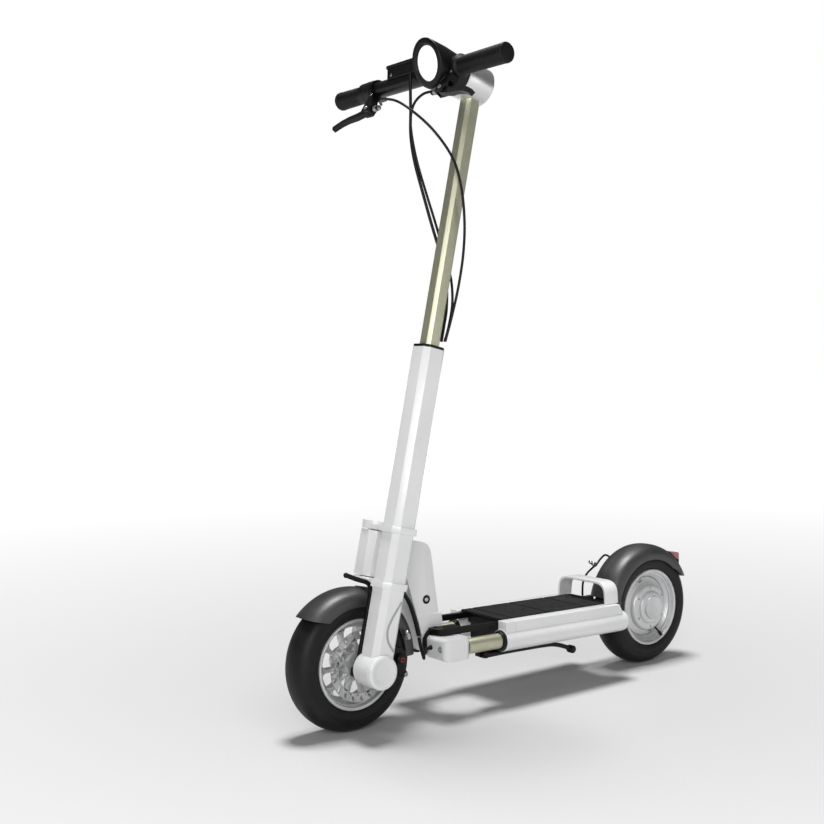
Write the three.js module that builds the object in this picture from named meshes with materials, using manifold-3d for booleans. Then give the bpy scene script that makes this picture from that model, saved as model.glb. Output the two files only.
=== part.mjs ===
// Electric kick scooter with a one-sided front leg, a telescopic stem and a telescopic deck.
// Millimetres. +X is forward, +Y is the rider's left, +Z is up. While it is being built, the
// front wheel touches the ground at the origin; the last lines centre the finished scooter.
import * as THREE from 'three';
import { mergeVertices } from 'three/addons/utils/BufferGeometryUtils.js';
import manifoldModule from 'manifold-3d';

const kernel = await manifoldModule();
kernel.setup();

// ---------------------------------------------------------------- driving dimensions

const GAP = 0.3; // left between pieces that touch

const WHEELBASE = 800;
const WHEEL = { radius: 127.5, halfWidth: 34, rimRadius: 83, rimHalfWidth: 31, facets: 36 };
const AXLE_HEIGHT = WHEEL.radius;

const RAKE = THREE.MathUtils.degToRad(12.6); // lean of the leg and of the steering axis
// Places in the steering frame: origin on the front axle, z up along the leg.
const STEER_X = -13; // steering axis behind the axle
const LEG = { x: -4, y: 80, size: 50, chamfer: 10, wall: 3, bottom: 22, top: 590 };
const LOWER_YOKE_Z = 153;
const UPPER_YOKE_Z = 253.5;
const YOKE_THICKNESS = 12;
const HOUSING = { radius: 31, inner: 57, outer: 113 };

const CALIPER_PIVOT = { x: -77.6, z: 19.2 };

const STEM = { size: 32, chamfer: 7, bottom: 375, travel: 300 };
const HEAD_Z = 1098; // axis of the stem head, above the axle along the stem
const DRUM = { radius: 36, back: -28.5, front: 33.7 };
const LAMP = { radius: 41, back: 34, front: 111, lensRadius: 28.5, recess: 8 };
const LAMP_LEAN = THREE.MathUtils.degToRad(25); // the lens looks down from the barrel's axis
const BAR = { x: 67, radius: 15.9, halfLength: 250 };
const GRIP_RADIUS = 17.3;
const LEVER = { y: 114, clampY: 124.5, reach: 55, drop: THREE.MathUtils.degToRad(68), thickness: 10 };

const DISPLAY = { low: 6.4, high: 29.4, right: -76, left: 36 }; // measured from the bar
const BUTTON = { x: -14, y: -66, radius: 6 };
const KICKSTAND = { x: -284, y: 62, z: 108, ball: 8.2 };

const HINGE = { x: -185, z: 141, radius: 30 };
const NECK_HALF_WIDTH = 24;
const RAIL = { y: 70, z: 134.5, radius: 22, bore: 15.6, front: -316, back: -672 };
const SLIDE = { radius: 15, front: -226.3, back: -470 };
const DECK_TILT = THREE.MathUtils.degToRad(1.3); // the deck drops towards the rear
const DECK = { top: 170, halfWidth: 60.6, boxHalfWidth: 48, front: -325, back: -640 };
const FENDER = { inner: 135, outer: 138, halfWidth: 38.5 };

// ---------------------------------------------------------------- shape helpers

function toManifold(geometry) {
  const plain = geometry.clone();
  plain.deleteAttribute('normal');
  plain.deleteAttribute('uv');
  const merged = mergeVertices(plain, 1e-4);
  const mesh = new kernel.Mesh({
    numProp: 3,
    vertProperties: new Float32Array(merged.attributes.position.array),
    triVerts: new Uint32Array(merged.index.array),
  });
  return new kernel.Manifold(mesh);
}

function fromManifold(solid) {
  const mesh = solid.getMesh();
  const geometry = new THREE.BufferGeometry();
  geometry.setAttribute('position', new THREE.BufferAttribute(new Float32Array(mesh.vertProperties), 3));
  geometry.setIndex(new THREE.BufferAttribute(new Uint32Array(mesh.triVerts), 1));
  return geometry;
}

function join(...geometries) {
  return fromManifold(kernel.Manifold.union(geometries.map(toManifold)));
}

function cut(geometry, ...tools) {
  return fromManifold(toManifold(geometry).subtract(kernel.Manifold.union(tools.map(toManifold))));
}

function common(a, b) {
  return fromManifold(toManifold(a).intersect(toManifold(b)));
}

function mirrorY(geometry) {
  return fromManifold(toManifold(geometry).mirror([0, 1, 0]));
}

function boxBetween([x0, y0, z0], [x1, y1, z1]) {
  const geometry = new THREE.BoxGeometry(x1 - x0, y1 - y0, z1 - z0);
  return geometry.translate((x0 + x1) / 2, (y0 + y1) / 2, (z0 + z1) / 2);
}

function cylinderY(radius, y0, y1, { x = 0, z = 0, sides = 20 } = {}) {
  return new THREE.CylinderGeometry(radius, radius, y1 - y0, sides).translate(x, (y0 + y1) / 2, z);
}

function cylinderZ(radius, z0, z1, { x = 0, y = 0, sides = 20 } = {}) {
  const geometry = new THREE.CylinderGeometry(radius, radius, z1 - z0, sides);
  return geometry.rotateX(Math.PI / 2).translate(x, y, (z0 + z1) / 2);
}

function cylinderX(radius, x0, x1, { y = 0, z = 0, sides = 20 } = {}) {
  const geometry = new THREE.CylinderGeometry(radius, radius, x1 - x0, sides);
  return geometry.rotateZ(Math.PI / 2).translate((x0 + x1) / 2, y, z);
}

// Deck pieces are drawn level and then turned about the folding hinge.
function tilted(geometry) {
  const { x, z } = HINGE;
  return geometry.translate(-x, 0, -z).rotateY(-DECK_TILT).translate(x, 0, z);
}

// A profile of [radius, place along the axis] pairs turned about Y or about X. It may run
// either way round: the outside has to be passed from low to high for the faces to look out.
function turnedY(profile, sides = 20) {
  const points = profile.map(([radius, y]) => new THREE.Vector2(radius, y));
  if (THREE.ShapeUtils.area(points) < 0) points.reverse();
  return new THREE.LatheGeometry(points, sides);
}

function turnedX(profile, { y = 0, z = 0, sides = 20 } = {}) {
  return turnedY(profile, sides).rotateZ(-Math.PI / 2).translate(0, y, z);
}

function polygon(points) {
  return new THREE.Shape(points.map(([a, b]) => new THREE.Vector2(a, b)));
}

function octagon(size, chamfer, depth = size) {
  const a = size / 2;
  const b = depth / 2;
  return polygon([
    [a, -b + chamfer], [a, b - chamfer], [a - chamfer, b], [-a + chamfer, b],
    [-a, b - chamfer], [-a, -b + chamfer], [-a + chamfer, -b], [a - chamfer, -b],
  ]);
}

function roundedRectangle(a0, a1, b0, b1, r) {
  const shape = new THREE.Shape();
  shape.absarc(a1 - r, b0 + r, r, -Math.PI / 2, 0);
  shape.absarc(a1 - r, b1 - r, r, 0, Math.PI / 2);
  shape.absarc(a0 + r, b1 - r, r, Math.PI / 2, Math.PI);
  shape.absarc(a0 + r, b0 + r, r, Math.PI, Math.PI * 1.5);
  return shape;
}

// A band of given half-widths along a line of points, all in one plane.
function ribbon(points, halfWidths) {
  const left = [];
  const right = [];
  points.forEach(([a, b], i) => {
    const [pa, pb] = points[Math.max(i - 1, 0)];
    const [na, nb] = points[Math.min(i + 1, points.length - 1)];
    const length = Math.hypot(na - pa, nb - pb);
    const side = [-(nb - pb) / length, (na - pa) / length];
    left.push([a + side[0] * halfWidths[i], b + side[1] * halfWidths[i]]);
    right.unshift([a - side[0] * halfWidths[i], b - side[1] * halfWidths[i]]);
  });
  return polygon([...left, ...right]);
}

// Prisms from a shape drawn in (x, y), (x, z) or (y, z).
function prismZ(shape, z0, z1, curveSegments = 4) {
  const options = { depth: z1 - z0, bevelEnabled: false, curveSegments };
  return new THREE.ExtrudeGeometry(shape, options).translate(0, 0, z0);
}

function prismY(shape, y0, y1, curveSegments = 4) {
  return prismZ(shape, -y1, -y0, curveSegments).rotateX(Math.PI / 2);
}

function prismX(shape, x0, x1, curveSegments = 4) {
  const turn = new THREE.Matrix4().makeBasis(
    new THREE.Vector3(0, 1, 0), new THREE.Vector3(0, 0, 1), new THREE.Vector3(1, 0, 0));
  return prismZ(shape, x0, x1, curveSegments).applyMatrix4(turn);
}

function tube(points, radius, { sides = 12, steps = 40 } = {}) {
  const path = new THREE.CatmullRomCurve3(points.map((p) => new THREE.Vector3(...p)), false, 'centripetal');
  const ring = [];
  for (let i = 0; i < sides; i += 1) {
    const angle = (i * 2 * Math.PI) / sides;
    ring.push([radius * Math.cos(angle), radius * Math.sin(angle)]);
  }
  return new THREE.ExtrudeGeometry(polygon(ring), { steps, bevelEnabled: false, extrudePath: path });
}

// ---------------------------------------------------------------- materials and naming

const FINISHES = {
  whitePaint: { color: 0xeceded, roughness: 0.3, metalness: 0.1 },
  blackPaint: { color: 0x1b1b1c, roughness: 0.45, metalness: 0.2 },
  gold: { color: 0xb9b68f, roughness: 0.35, metalness: 0.85 },
  alloy: { color: 0xb9bcbf, roughness: 0.35, metalness: 0.9 },
  steel: { color: 0x9a9c9e, roughness: 0.4, metalness: 0.9 },
  rubber: { color: 0x1c1c1d, roughness: 0.8, metalness: 0 },
  plastic: { color: 0x202021, roughness: 0.55, metalness: 0 },
  lens: { color: 0xf8f8f6, roughness: 0.1, metalness: 0 },
  redLens: { color: 0xb03038, roughness: 0.15, metalness: 0 },
  cable: { color: 0x161617, roughness: 0.6, metalness: 0 },
};

function node(name, finish, geometry) {
  const mesh = new THREE.Mesh(geometry, new THREE.MeshStandardMaterial(FINISHES[finish]));
  mesh.name = name;
  return mesh;
}

const SIDES = [['left', 1], ['right', -1]];

// ---------------------------------------------------------------- wheels

const tyreOuter = WHEEL.radius / Math.cos(Math.PI / WHEEL.facets);

function tyre() {
  const bead = WHEEL.rimRadius + 1;
  const half = [
    [bead, 29], [91, 33], [104, WHEEL.halfWidth], [116, 31], [124, 22], [tyreOuter, 9],
  ];
  const mirrored = half.map(([r, y]) => [r, -y]).reverse();
  const flatDown = Math.PI / WHEEL.facets;
  return turnedY([...half, ...mirrored, half[0]], WHEEL.facets).rotateY(flatDown);
}

function rimBarrel() {
  const r = WHEEL.rimRadius;
  const h = WHEEL.rimHalfWidth;
  return turnedY([
    [r, h], [r, h - 4], [r - 5, h - 10], [r - 5, 10 - h], [r, 4 - h], [r, -h],
    [r - 5, -h], [r - 12, 12 - h], [r - 12, h - 12], [r - 5, h], [r, h],
  ], WHEEL.facets);
}

function frontRim() {
  const pieces = [rimBarrel(), cylinderY(21, -28, 34)];
  const spokes = 10;
  for (let i = 0; i < spokes; i += 1) {
    const spoke = boxBetween([16, 4, -5], [74, 16, 5]).rotateY(0.16);
    pieces.push(spoke.rotateY((i * 2 * Math.PI) / spokes));
  }
  return cut(join(...pieces), cylinderY(8.3, -40, 40));
}

function brakeDisc() {
  const faces = [40, 42];
  const ring = turnedY([[51, faces[0]], [66, faces[0]], [66, faces[1]], [51, faces[1]], [51, faces[0]]], 36);
  const carrier = turnedY([[12, 36], [24, 36], [24, faces[1]], [12, faces[1]], [12, 36]], 20);
  const arms = [];
  for (let i = 0; i < 5; i += 1) {
    const sweep = ribbon([[20, 0], [30, 6], [42, 9], [55, 8]], [7, 5, 4.5, 6]);
    arms.push(prismY(sweep, ...faces).rotateY((i * 2 * Math.PI) / 5));
  }
  const slots = [];
  const slotCount = 18;
  for (let i = 0; i < slotCount; i += 1) {
    const slot = boxBetween([54, 38, -1.8], [63, 44, 1.8]);
    slots.push(slot.rotateY(((i + 0.5) * 2 * Math.PI) / slotCount));
  }
  return cut(join(ring, carrier, ...arms), ...slots);
}

function motorShell() {
  const profile = [
    [9, -40], [34, -40], [68, -26], [70.6, -24], [70.6, 24], [55, 27], [52, 34], [37, 36],
    [36, 39], [32, 40], [31, 43], [9, 43], [9, -40],
  ];
  return turnedY(profile, 28);
}

function rearRim() {
  const vents = [];
  for (let i = 0; i < 3; i += 1) {
    const vent = boxBetween([68, 20, -7], [76, 40, 7]);
    vents.push(vent.rotateY((i * 2 * Math.PI) / 3 + 0.5));
  }
  return cut(rimBarrel(), ...vents);
}

function frontWheel() {
  const wheel = new THREE.Group();
  wheel.add(node('front_tyre', 'rubber', tyre()));
  wheel.add(node('front_rim', 'alloy', frontRim()));
  wheel.add(node('brake_disc', 'steel', brakeDisc()));
  wheel.position.set(0, 0, AXLE_HEIGHT);
  return wheel;
}

function rearWheel() {
  const wheel = new THREE.Group();
  wheel.add(node('rear_tyre', 'rubber', tyre()));
  wheel.add(node('rear_rim', 'alloy', rearRim()));
  wheel.add(node('motor_shell', 'alloy', motorShell()));
  wheel.position.set(-WHEELBASE, 0, AXLE_HEIGHT);
  return wheel;
}

// ---------------------------------------------------------------- mudguards

// An arched channel about the wheel axis, between two angles measured from +X upwards.
function channel(fromDegrees, toDegrees) {
  const from = THREE.MathUtils.degToRad(fromDegrees);
  const to = THREE.MathUtils.degToRad(toDegrees);
  const w = FENDER.halfWidth;
  const profile = [
    [108, w], [122, w], [132, w - 7], [FENDER.outer, w - 22], [FENDER.outer, 22 - w], [132, 7 - w],
    [122, -w], [108, -w], [108, 2.5 - w], [121, 2.5 - w], [FENDER.inner, 21 - w],
    [FENDER.inner, w - 21], [121, w - 2.5], [108, w - 2.5],
  ];
  const full = turnedY([...profile, profile[0]], 40);
  const wedge = new THREE.Shape();
  wedge.moveTo(0, 0);
  const reach = 220;
  const steps = 8;
  for (let i = 0; i <= steps; i += 1) {
    const angle = from + ((to - from) * i) / steps;
    wedge.lineTo(reach * Math.cos(angle), reach * Math.sin(angle));
  }
  return common(full, prismY(wedge, -60, 60));
}

// ---------------------------------------------------------------- front leg and its yokes

function stemLeg() {
  const floor = STEM.bottom - STEM.travel - 10;
  const outer = prismZ(octagon(LEG.size, LEG.chamfer), LEG.bottom - 14, LEG.top);
  const bore = prismZ(octagon(LEG.size - 2 * LEG.wall, LEG.chamfer - 1.5), floor, LEG.top + 1);
  const leg = cut(outer, bore).translate(LEG.x, LEG.y, 0);
  return cut(leg, cylinderY(HOUSING.radius + GAP, HOUSING.inner - 10, HOUSING.outer, { sides: 28 }));
}

function legCollar() {
  const outer = prismZ(octagon(LEG.size - 0.6, LEG.chamfer), LEG.top + GAP, LEG.top + 5);
  const bore = prismZ(octagon(STEM.size + 0.8, STEM.chamfer), LEG.top - 1, LEG.top + 6);
  const notch = boxBetween([-27, -8, LEG.top - 1], [-15, 8, LEG.top + 6]);
  return cut(outer, bore, notch).translate(LEG.x, LEG.y, 0);
}

// A plate that grips the leg and carries the steering axis beside it.
function yoke(centreZ, capHeight) {
  const low = centreZ - YOKE_THICKNESS / 2;
  const high = centreZ + YOKE_THICKNESS / 2;
  const band = prismZ(octagon(LEG.size + 8, LEG.chamfer + 1.5), low, high).translate(LEG.x, LEG.y, 0);
  const boss = cylinderZ(27, low, low + capHeight, { x: STEER_X });
  const link = boxBetween([STEER_X - 20, 0, low + 1], [STEER_X + 24, LEG.y - 20, high - 2]);
  const legHole = prismZ(octagon(LEG.size + 2 * GAP, LEG.chamfer + 0.2), low - 1, high + 1);
  const steererHole = cylinderZ(14.8, low - 1, low + capHeight + 1, { x: STEER_X });
  return cut(join(band, boss, link), legHole.translate(LEG.x, LEG.y, 0), steererHole);
}

function lowerYoke() {
  const steerer = cylinderZ(14.5, 148, 262, { x: STEER_X });
  return join(yoke(LOWER_YOKE_Z, 12), steerer, cylinderZ(15.5, 147.5, 152, { x: STEER_X }));
}

// The barrel at the foot of the leg, with its dished end and the stub axle pressed into it.
function axleHousing() {
  const { radius, inner, outer } = HOUSING;
  return turnedY([
    [0, -36], [11, -36], [13, -34], [13, -28.6], [8, -28.6], [8, inner], [radius - 3, inner],
    [radius, inner + 3], [radius, outer - 5], [radius - 5, outer], [23, outer], [19, outer - 4],
    [16, outer - 3], [0, outer - 3],
  ], 28);
}

function stayHook() {
  const y = 49.6;
  return tube([
    [13.5, y, -8], [13.5, y, 20], [13, y, 70], [12, y, 120], [14, y, 140], [23, y, 150.5],
    [45, y, 154], [73, y, 159],
  ], 4.3, { sides: 8, steps: 16 });
}

function fenderMount() {
  const block = boxBetween([STEER_X - 14, -14, 133.5], [STEER_X + 18, 34, 146.5]);
  return block;
}

function caliperBody() {
  const outline = roundedRectangle(-88, -42, -22, 40, 8);
  const body = prismY(outline, 35, 53.6);
  const discSlot = boxBetween([-70, 38.4, -60], [-30, 43.6, 60]);
  const neckDown = cylinderY(20, 43.7, 60, { x: -92, z: 54 });
  return cut(body, discSlot, neckDown);
}

function caliperArm() {
  const { x, z } = CALIPER_PIVOT;
  const arm = ribbon([[x, z], [x - 1, z - 12], [x - 6, z - 21], [x - 17, z - 27]], [10, 9, 8, 5.5]);
  const hub = cylinderY(11, 54, 60, { x, z });
  return join(prismY(arm, 54, 58), hub);
}

function steering() {
  const group = new THREE.Group();
  group.add(node('yoke_lower', 'whitePaint', lowerYoke()));
  group.add(node('yoke_upper', 'whitePaint', yoke(UPPER_YOKE_Z, 15.5)));
  group.add(node('stem_leg', 'whitePaint', stemLeg()));
  group.add(node('leg_collar', 'plastic', legCollar()));
  group.add(node('axle_housing', 'whitePaint', axleHousing()));
  group.add(node('stay_hook', 'blackPaint', stayHook()));
  const level = boxBetween([0, -60, -40], [220, 60, 69.3]);
  const mudguard = join(cut(channel(22, 168), level), fenderMount());
  group.add(node('front_mudguard', 'plastic', mudguard));
  group.add(node('caliper_body', 'blackPaint', caliperBody()));
  group.add(node('caliper_arm', 'blackPaint', caliperArm()));
  return group;
}

// ---------------------------------------------------------------- stem, head and handlebar

function innerStem() {
  const outer = prismZ(octagon(STEM.size, STEM.chamfer), STEM.bottom, HEAD_Z + 18);
  const bore = prismZ(octagon(STEM.size - 5, STEM.chamfer - 1), STEM.bottom - 1, HEAD_Z - 40);
  return cut(outer, bore).translate(LEG.x, LEG.y, 0);
}

function stemDrum() {
  const { radius, back, front } = DRUM;
  const drum = turnedX([
    [0, back], [radius - 3, back], [radius, back + 3], [radius, front], [0, front],
  ], { y: LEG.y, z: HEAD_Z, sides: 28 });
  const socket = prismZ(octagon(STEM.size + 2 * GAP, STEM.chamfer), HEAD_Z - 60, HEAD_Z + 18 + GAP);
  return cut(drum, socket.translate(LEG.x, LEG.y, 0));
}

// Slants the front of the lamp, so that its top is further forward than its bottom.
function leaned(geometry) {
  const places = geometry.attributes.position;
  for (let i = 0; i < places.count; i += 1) {
    if (places.getX(i) > LAMP.front - LAMP.recess - GAP) {
      places.setX(i, places.getX(i) + (places.getZ(i) - HEAD_Z) * Math.tan(LAMP_LEAN));
    }
  }
  return geometry;
}

function lampBarrel() {
  const { radius, back, front, lensRadius, recess } = LAMP;
  const floor = front - recess;
  const barrel = turnedX([
    [0, back], [radius - 4, back], [radius, floor], [radius, front - 1], [radius - 1, front],
    [lensRadius + 2, front], [lensRadius + GAP, front - 2], [lensRadius + GAP, floor], [0, floor],
  ], { y: LEG.y, z: HEAD_Z, sides: 28 });
  return cut(leaned(barrel), cylinderY(BAR.radius + GAP, 0, 160, { x: BAR.x, z: HEAD_Z }));
}

function lampLens() {
  const { front, lensRadius, recess } = LAMP;
  const back = front - recess + GAP;
  return leaned(turnedX([
    [0, back], [lensRadius, back], [lensRadius, front - 3], [20, front - 1.6], [0, front - 1],
  ], { y: LEG.y, z: HEAD_Z, sides: 28 }));
}

function gripSleeve(side, inner) {
  const outer = BAR.halfLength + 2;
  const bore = BAR.radius + GAP;
  const profile = [
    [bore, inner], [22, inner], [22, inner + 4], [GRIP_RADIUS - 0.4, inner + 6],
    [GRIP_RADIUS - 0.4, outer - 7], [GRIP_RADIUS + 0.8, outer - 6], [GRIP_RADIUS, outer],
    [0, outer], [0, outer - 1.7], [bore, outer - 1.7], [bore, inner],
  ];
  const sleeve = turnedY(profile);
  return (side > 0 ? sleeve : sleeve.rotateX(Math.PI)).translate(BAR.x, 0, HEAD_Z);
}

function displayHousing() {
  const { low, high, right, left } = DISPLAY;
  const housing = prismY(roundedRectangle(-26, 22, low, high, 4), right, left);
  const button = cylinderZ(BUTTON.radius + GAP, high - 3, high + 7, { x: BUTTON.x, y: BUTTON.y });
  const bore = cylinderY(BAR.radius + GAP, -100, 60);
  return cut(housing, bore, button).translate(BAR.x, 0, HEAD_Z);
}

// Levers are drawn with x away from the bar, y along the bar and z across their thickness.
function leverPlace(geometry) {
  return geometry.rotateY(LEVER.drop).translate(BAR.x, 0, HEAD_Z);
}

function leverMount(side) {
  const { y, clampY, reach, thickness } = LEVER;
  const cheek = thickness / 2 + GAP;
  const outline = ribbon(
    [[14, clampY], [26, clampY - 2], [40, 119], [reach - 2, y], [reach + 8, y]], [3, 5, 9, 13, 11]);
  const body = prismZ(outline, -cheek - 4, cheek + 4);
  const ring = cylinderY(BAR.radius + 5, clampY - 3, clampY + 3);
  const bore = cylinderY(BAR.radius + GAP, clampY - 20, clampY + 20);
  const mouth = boxBetween([38, y - 9.5, -cheek], [reach + 20, y + 30, cheek]);
  const nose = cylinderY(5.2, y - 32, y - 11, { x: reach - 2, sides: 16 });
  const mount = cut(join(body, ring, nose), bore, mouth);
  return leverPlace(side > 0 ? mount : mirrorY(mount));
}

function brakeLever(side) {
  const { y, reach, thickness } = LEVER;
  const line = [
    [reach, y - 1], [reach + 3, y + 10], [reach + 9, y + 28], [reach + 12, y + 56],
    [reach + 18, y + 78], [reach + 28, y + 98],
  ];
  const blade = prismZ(ribbon(line, [8, 8, 6.5, 5.5, 5, 4.5]), -thickness / 2, thickness / 2);
  const boss = cylinderZ(8.5, -thickness / 2, thickness / 2, { x: reach, y });
  const lever = join(blade, boss);
  return leverPlace(side > 0 ? lever : mirrorY(lever));
}

function throttleBody() {
  const ring = cylinderY(BAR.radius + 5.5, -148, -130);
  return cut(ring, cylinderY(BAR.radius + GAP, -160, -120)).translate(BAR.x, 0, HEAD_Z);
}

function throttlePaddle() {
  const ring = cylinderY(BAR.radius + 5, -167.5, -148.5);
  const paddle = boxBetween([-41, -167.5, -3], [-17, -148.5, 3]);
  return cut(join(ring, paddle), cylinderY(BAR.radius + GAP, -180, -140)).translate(BAR.x, 0, HEAD_Z);
}

function powerButton() {
  const top = DISPLAY.high;
  const cap = cylinderZ(BUTTON.radius, top + GAP, top + 3.2, { x: BUTTON.x, y: BUTTON.y });
  return cap.translate(BAR.x, 0, HEAD_Z);
}

function upperStem() {
  const group = new THREE.Group();
  group.add(node('inner_stem', 'gold', innerStem()));
  group.add(node('stem_drum', 'whitePaint', stemDrum()));
  group.add(node('lamp_barrel', 'blackPaint', lampBarrel()));
  group.add(node('lamp_lens', 'lens', lampLens()));
  const bar = cylinderY(BAR.radius, -BAR.halfLength, BAR.halfLength, { x: BAR.x, z: HEAD_Z });
  group.add(node('handlebar', 'blackPaint', bar));
  group.add(node('grip_left', 'rubber', gripSleeve(1, 128)));
  group.add(node('grip_right', 'rubber', gripSleeve(-1, 168)));
  group.add(node('display_housing', 'plastic', displayHousing()));
  SIDES.forEach(([name, side]) => {
    group.add(node(`lever_mount_${name}`, 'blackPaint', leverMount(side)));
    group.add(node(`brake_lever_${name}`, 'blackPaint', brakeLever(side)));
  });
  group.add(node('throttle_body', 'plastic', throttleBody()));
  group.add(node('throttle_paddle', 'plastic', throttlePaddle()));
  group.add(node('power_button', 'plastic', powerButton()));
  return group;
}

// ---------------------------------------------------------------- neck with its head tube

function neckShell() {
  const { x, z } = HINGE;
  const profile = new THREE.Shape();
  profile.moveTo(-70, 296);
  profile.lineTo(-84, 352);
  profile.lineTo(-132, 343);
  profile.lineTo(-160, 336);
  profile.quadraticCurveTo(-184, 330, -187, 306);
  profile.lineTo(x - 21.5, z + 39);
  profile.absarc(x, z, NECK_HALF_WIDTH, Math.PI * 0.9, Math.PI * 2.02);
  profile.lineTo(-116, 285);
  const sides = prismY(profile, -NECK_HALF_WIDTH, NECK_HALF_WIDTH, 6);
  const w = NECK_HALF_WIDTH;
  const plan = polygon([[0, -w], [0, w], [-85, w], [-113, w - 8], [-113, 8 - w], [-85, -w]]);
  const back = prismZ(plan, -200, 200).rotateY(0.134).translate(-83, 0, 240);
  const keep = boxBetween([-260, -w, 100], [-60, w, 195]);
  const neck = common(sides, join(back, keep));
  const pinHole = cylinderY(8.3, -30, 30, { x, z });
  const lockPocket = cylinderY(5.7, 14, 30, { x: -167, z: 225 });
  return cut(neck, pinHole, lockPocket);
}

function headTube() {
  const tubeShape = prismZ(octagon(48, 11), LOWER_YOKE_Z + 8, UPPER_YOKE_Z - 7.5);
  const bore = cylinderZ(15, 100, 300);
  return cut(tubeShape, bore).translate(STEER_X, 0, 0);
}

function steeringFrame() {
  const group = new THREE.Group();
  group.position.set(0, 0, AXLE_HEIGHT);
  group.rotation.y = -RAKE;
  return group;
}

function inSteeringFrame(geometry) {
  return geometry.rotateY(-RAKE).translate(0, 0, AXLE_HEIGHT);
}

function neck() {
  const group = new THREE.Group();
  const clearance = inSteeringFrame(
    prismZ(octagon(48 + 2 * GAP, 11), LOWER_YOKE_Z - 20, UPPER_YOKE_Z + 20).translate(STEER_X, 0, 0));
  group.add(node('neck_shell', 'whitePaint', cut(neckShell(), clearance)));
  group.add(node('head_tube', 'whitePaint', inSteeringFrame(headTube())));
  group.add(node('lock_button', 'steel', cylinderY(5.3, 19, 26, { x: -167, z: 225 })));
  return group;
}

// ---------------------------------------------------------------- front frame that slides in the deck

function endBlock(side) {
  const inner = NECK_HALF_WIDTH + 7;
  const outline = roundedRectangle(-224, -162, 114, 157, 9);
  const block = prismY(outline, inner, 88);
  const plan = roundedRectangle(-226, -162, 20, 88, 14);
  const rounded = common(block, prismZ(plan, 100, 180));
  const pinHole = cylinderY(8.3, 20, 60, { x: HINGE.x, z: HINGE.z });
  const port = cylinderX(4, -175, -150, { y: 44, z: 137, sides: 16 });
  const block1 = cut(rounded, pinHole, port);
  return side > 0 ? block1 : mirrorY(block1);
}

// The pin is pressed into the left bracket and turns in the neck.
function hingePin() {
  const shaft = cylinderY(8, -55, 55, { x: HINGE.x, z: HINGE.z });
  return join(shaft, cylinderY(10, 26, 30, { x: HINGE.x, z: HINGE.z }));
}

function hingeBracket(side) {
  const plate = NECK_HALF_WIDTH + 1;
  const arm = new THREE.Shape();
  arm.moveTo(-425, 49);
  arm.lineTo(-232, 49);
  arm.lineTo(-232, plate);
  arm.lineTo(-170, plate);
  arm.lineTo(-170, 34);
  arm.quadraticCurveTo(-170, 60, -196, 60);
  arm.lineTo(-425, 60);
  const top = tilted(prismZ(arm, 158.4, DECK.top - 0.4));
  const disc = cylinderY(HINGE.radius, plate, NECK_HALF_WIDTH + 6.6, { x: HINGE.x, z: HINGE.z });
  const pinHole = cylinderY(8.3, 0, 60, { x: HINGE.x, z: HINGE.z });
  const bracket = cut(join(top, disc), pinHole);
  return side > 0 ? join(bracket, hingePin()) : mirrorY(bracket);
}

function frontFrame() {
  const group = new THREE.Group();
  SIDES.forEach(([name, side]) => {
    const rod = cylinderX(SLIDE.radius, SLIDE.back, SLIDE.front, { y: side * RAIL.y, z: RAIL.z });
    group.add(node(`slide_tube_${name}`, 'gold', tilted(rod)));
    group.add(node(`end_block_${name}`, 'whitePaint', endBlock(side)));
    group.add(node(`hinge_bracket_${name}`, 'blackPaint', hingeBracket(side)));
  });
  return group;
}

// ---------------------------------------------------------------- deck, rails and rear end

function rail(side) {
  const { y, z, radius, bore, front, back } = RAIL;
  const body = turnedX([
    [bore, front], [radius, front], [radius, back + 14], [radius - 3, back + 5], [radius - 9, back + 1],
    [0, back], [0, back + 6], [bore, back + 6], [bore, front],
  ].reverse(), { y, z });
  const strip = prismX(roundedRectangle(61, 85.5, 146, 172.5, 3), back + 30, front, 2);
  const joined = cut(join(body, strip), cylinderX(bore, back + 6, front + 1, { y, z }));
  return side > 0 ? joined : mirrorY(joined);
}

function railSeal(side) {
  const { y, z, front } = RAIL;
  return turnedX([
    [SLIDE.radius + 0.5, front + 0.4], [19, front + 0.4], [19, front + 4], [17.8, front + 7],
    [SLIDE.radius + 0.5, front + 7], [SLIDE.radius + 0.5, front + 0.4],
  ], { y: side * y, z });
}

function deckBox() {
  const { boxHalfWidth, top, back } = DECK;
  const section = polygon([
    [-boxHalfWidth, 118], [-36, 104], [36, 104], [boxHalfWidth, 118], [boxHalfWidth, 133],
    [boxHalfWidth - 1.5, 133], [boxHalfWidth - 1.5, 136], [boxHalfWidth, 136], [boxHalfWidth, top],
    [-boxHalfWidth, top], [-boxHalfWidth, 136], [1.5 - boxHalfWidth, 136], [1.5 - boxHalfWidth, 133],
    [-boxHalfWidth, 133],
  ]);
  const body = prismX(section, back, -340);
  const bays = boxBetween([-350, -70, 90], [-300, 70, 110]);
  return cut(body, bays);
}

function deckMat() {
  const { halfWidth, top, front, back } = DECK;
  const sheet = boxBetween([back, -halfWidth, top + 0.3], [front, halfWidth, top + 4.4]);
  const grooves = [-353, -455, -557].map((x) => boxBetween([x - 2, -80, top + 2.6], [x + 2, 80, top + 9]));
  return cut(sheet, ...grooves);
}

function deckHandle() {
  const base = 172.8;
  const outer = new THREE.Shape();
  outer.moveTo(72, base);
  outer.lineTo(70, 196);
  outer.quadraticCurveTo(67, 217, 44, 218.5);
  outer.lineTo(-44, 218.5);
  outer.quadraticCurveTo(-67, 217, -70, 196);
  outer.lineTo(-72, base);
  outer.lineTo(-66.5, base);
  outer.lineTo(-64.5, 195);
  outer.quadraticCurveTo(-62, 212, -43, 213.3);
  outer.lineTo(43, 213.3);
  outer.quadraticCurveTo(62, 212, 64.5, 195);
  outer.lineTo(66.5, base);
  return prismX(outer, -650, -612, 5);
}

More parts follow.
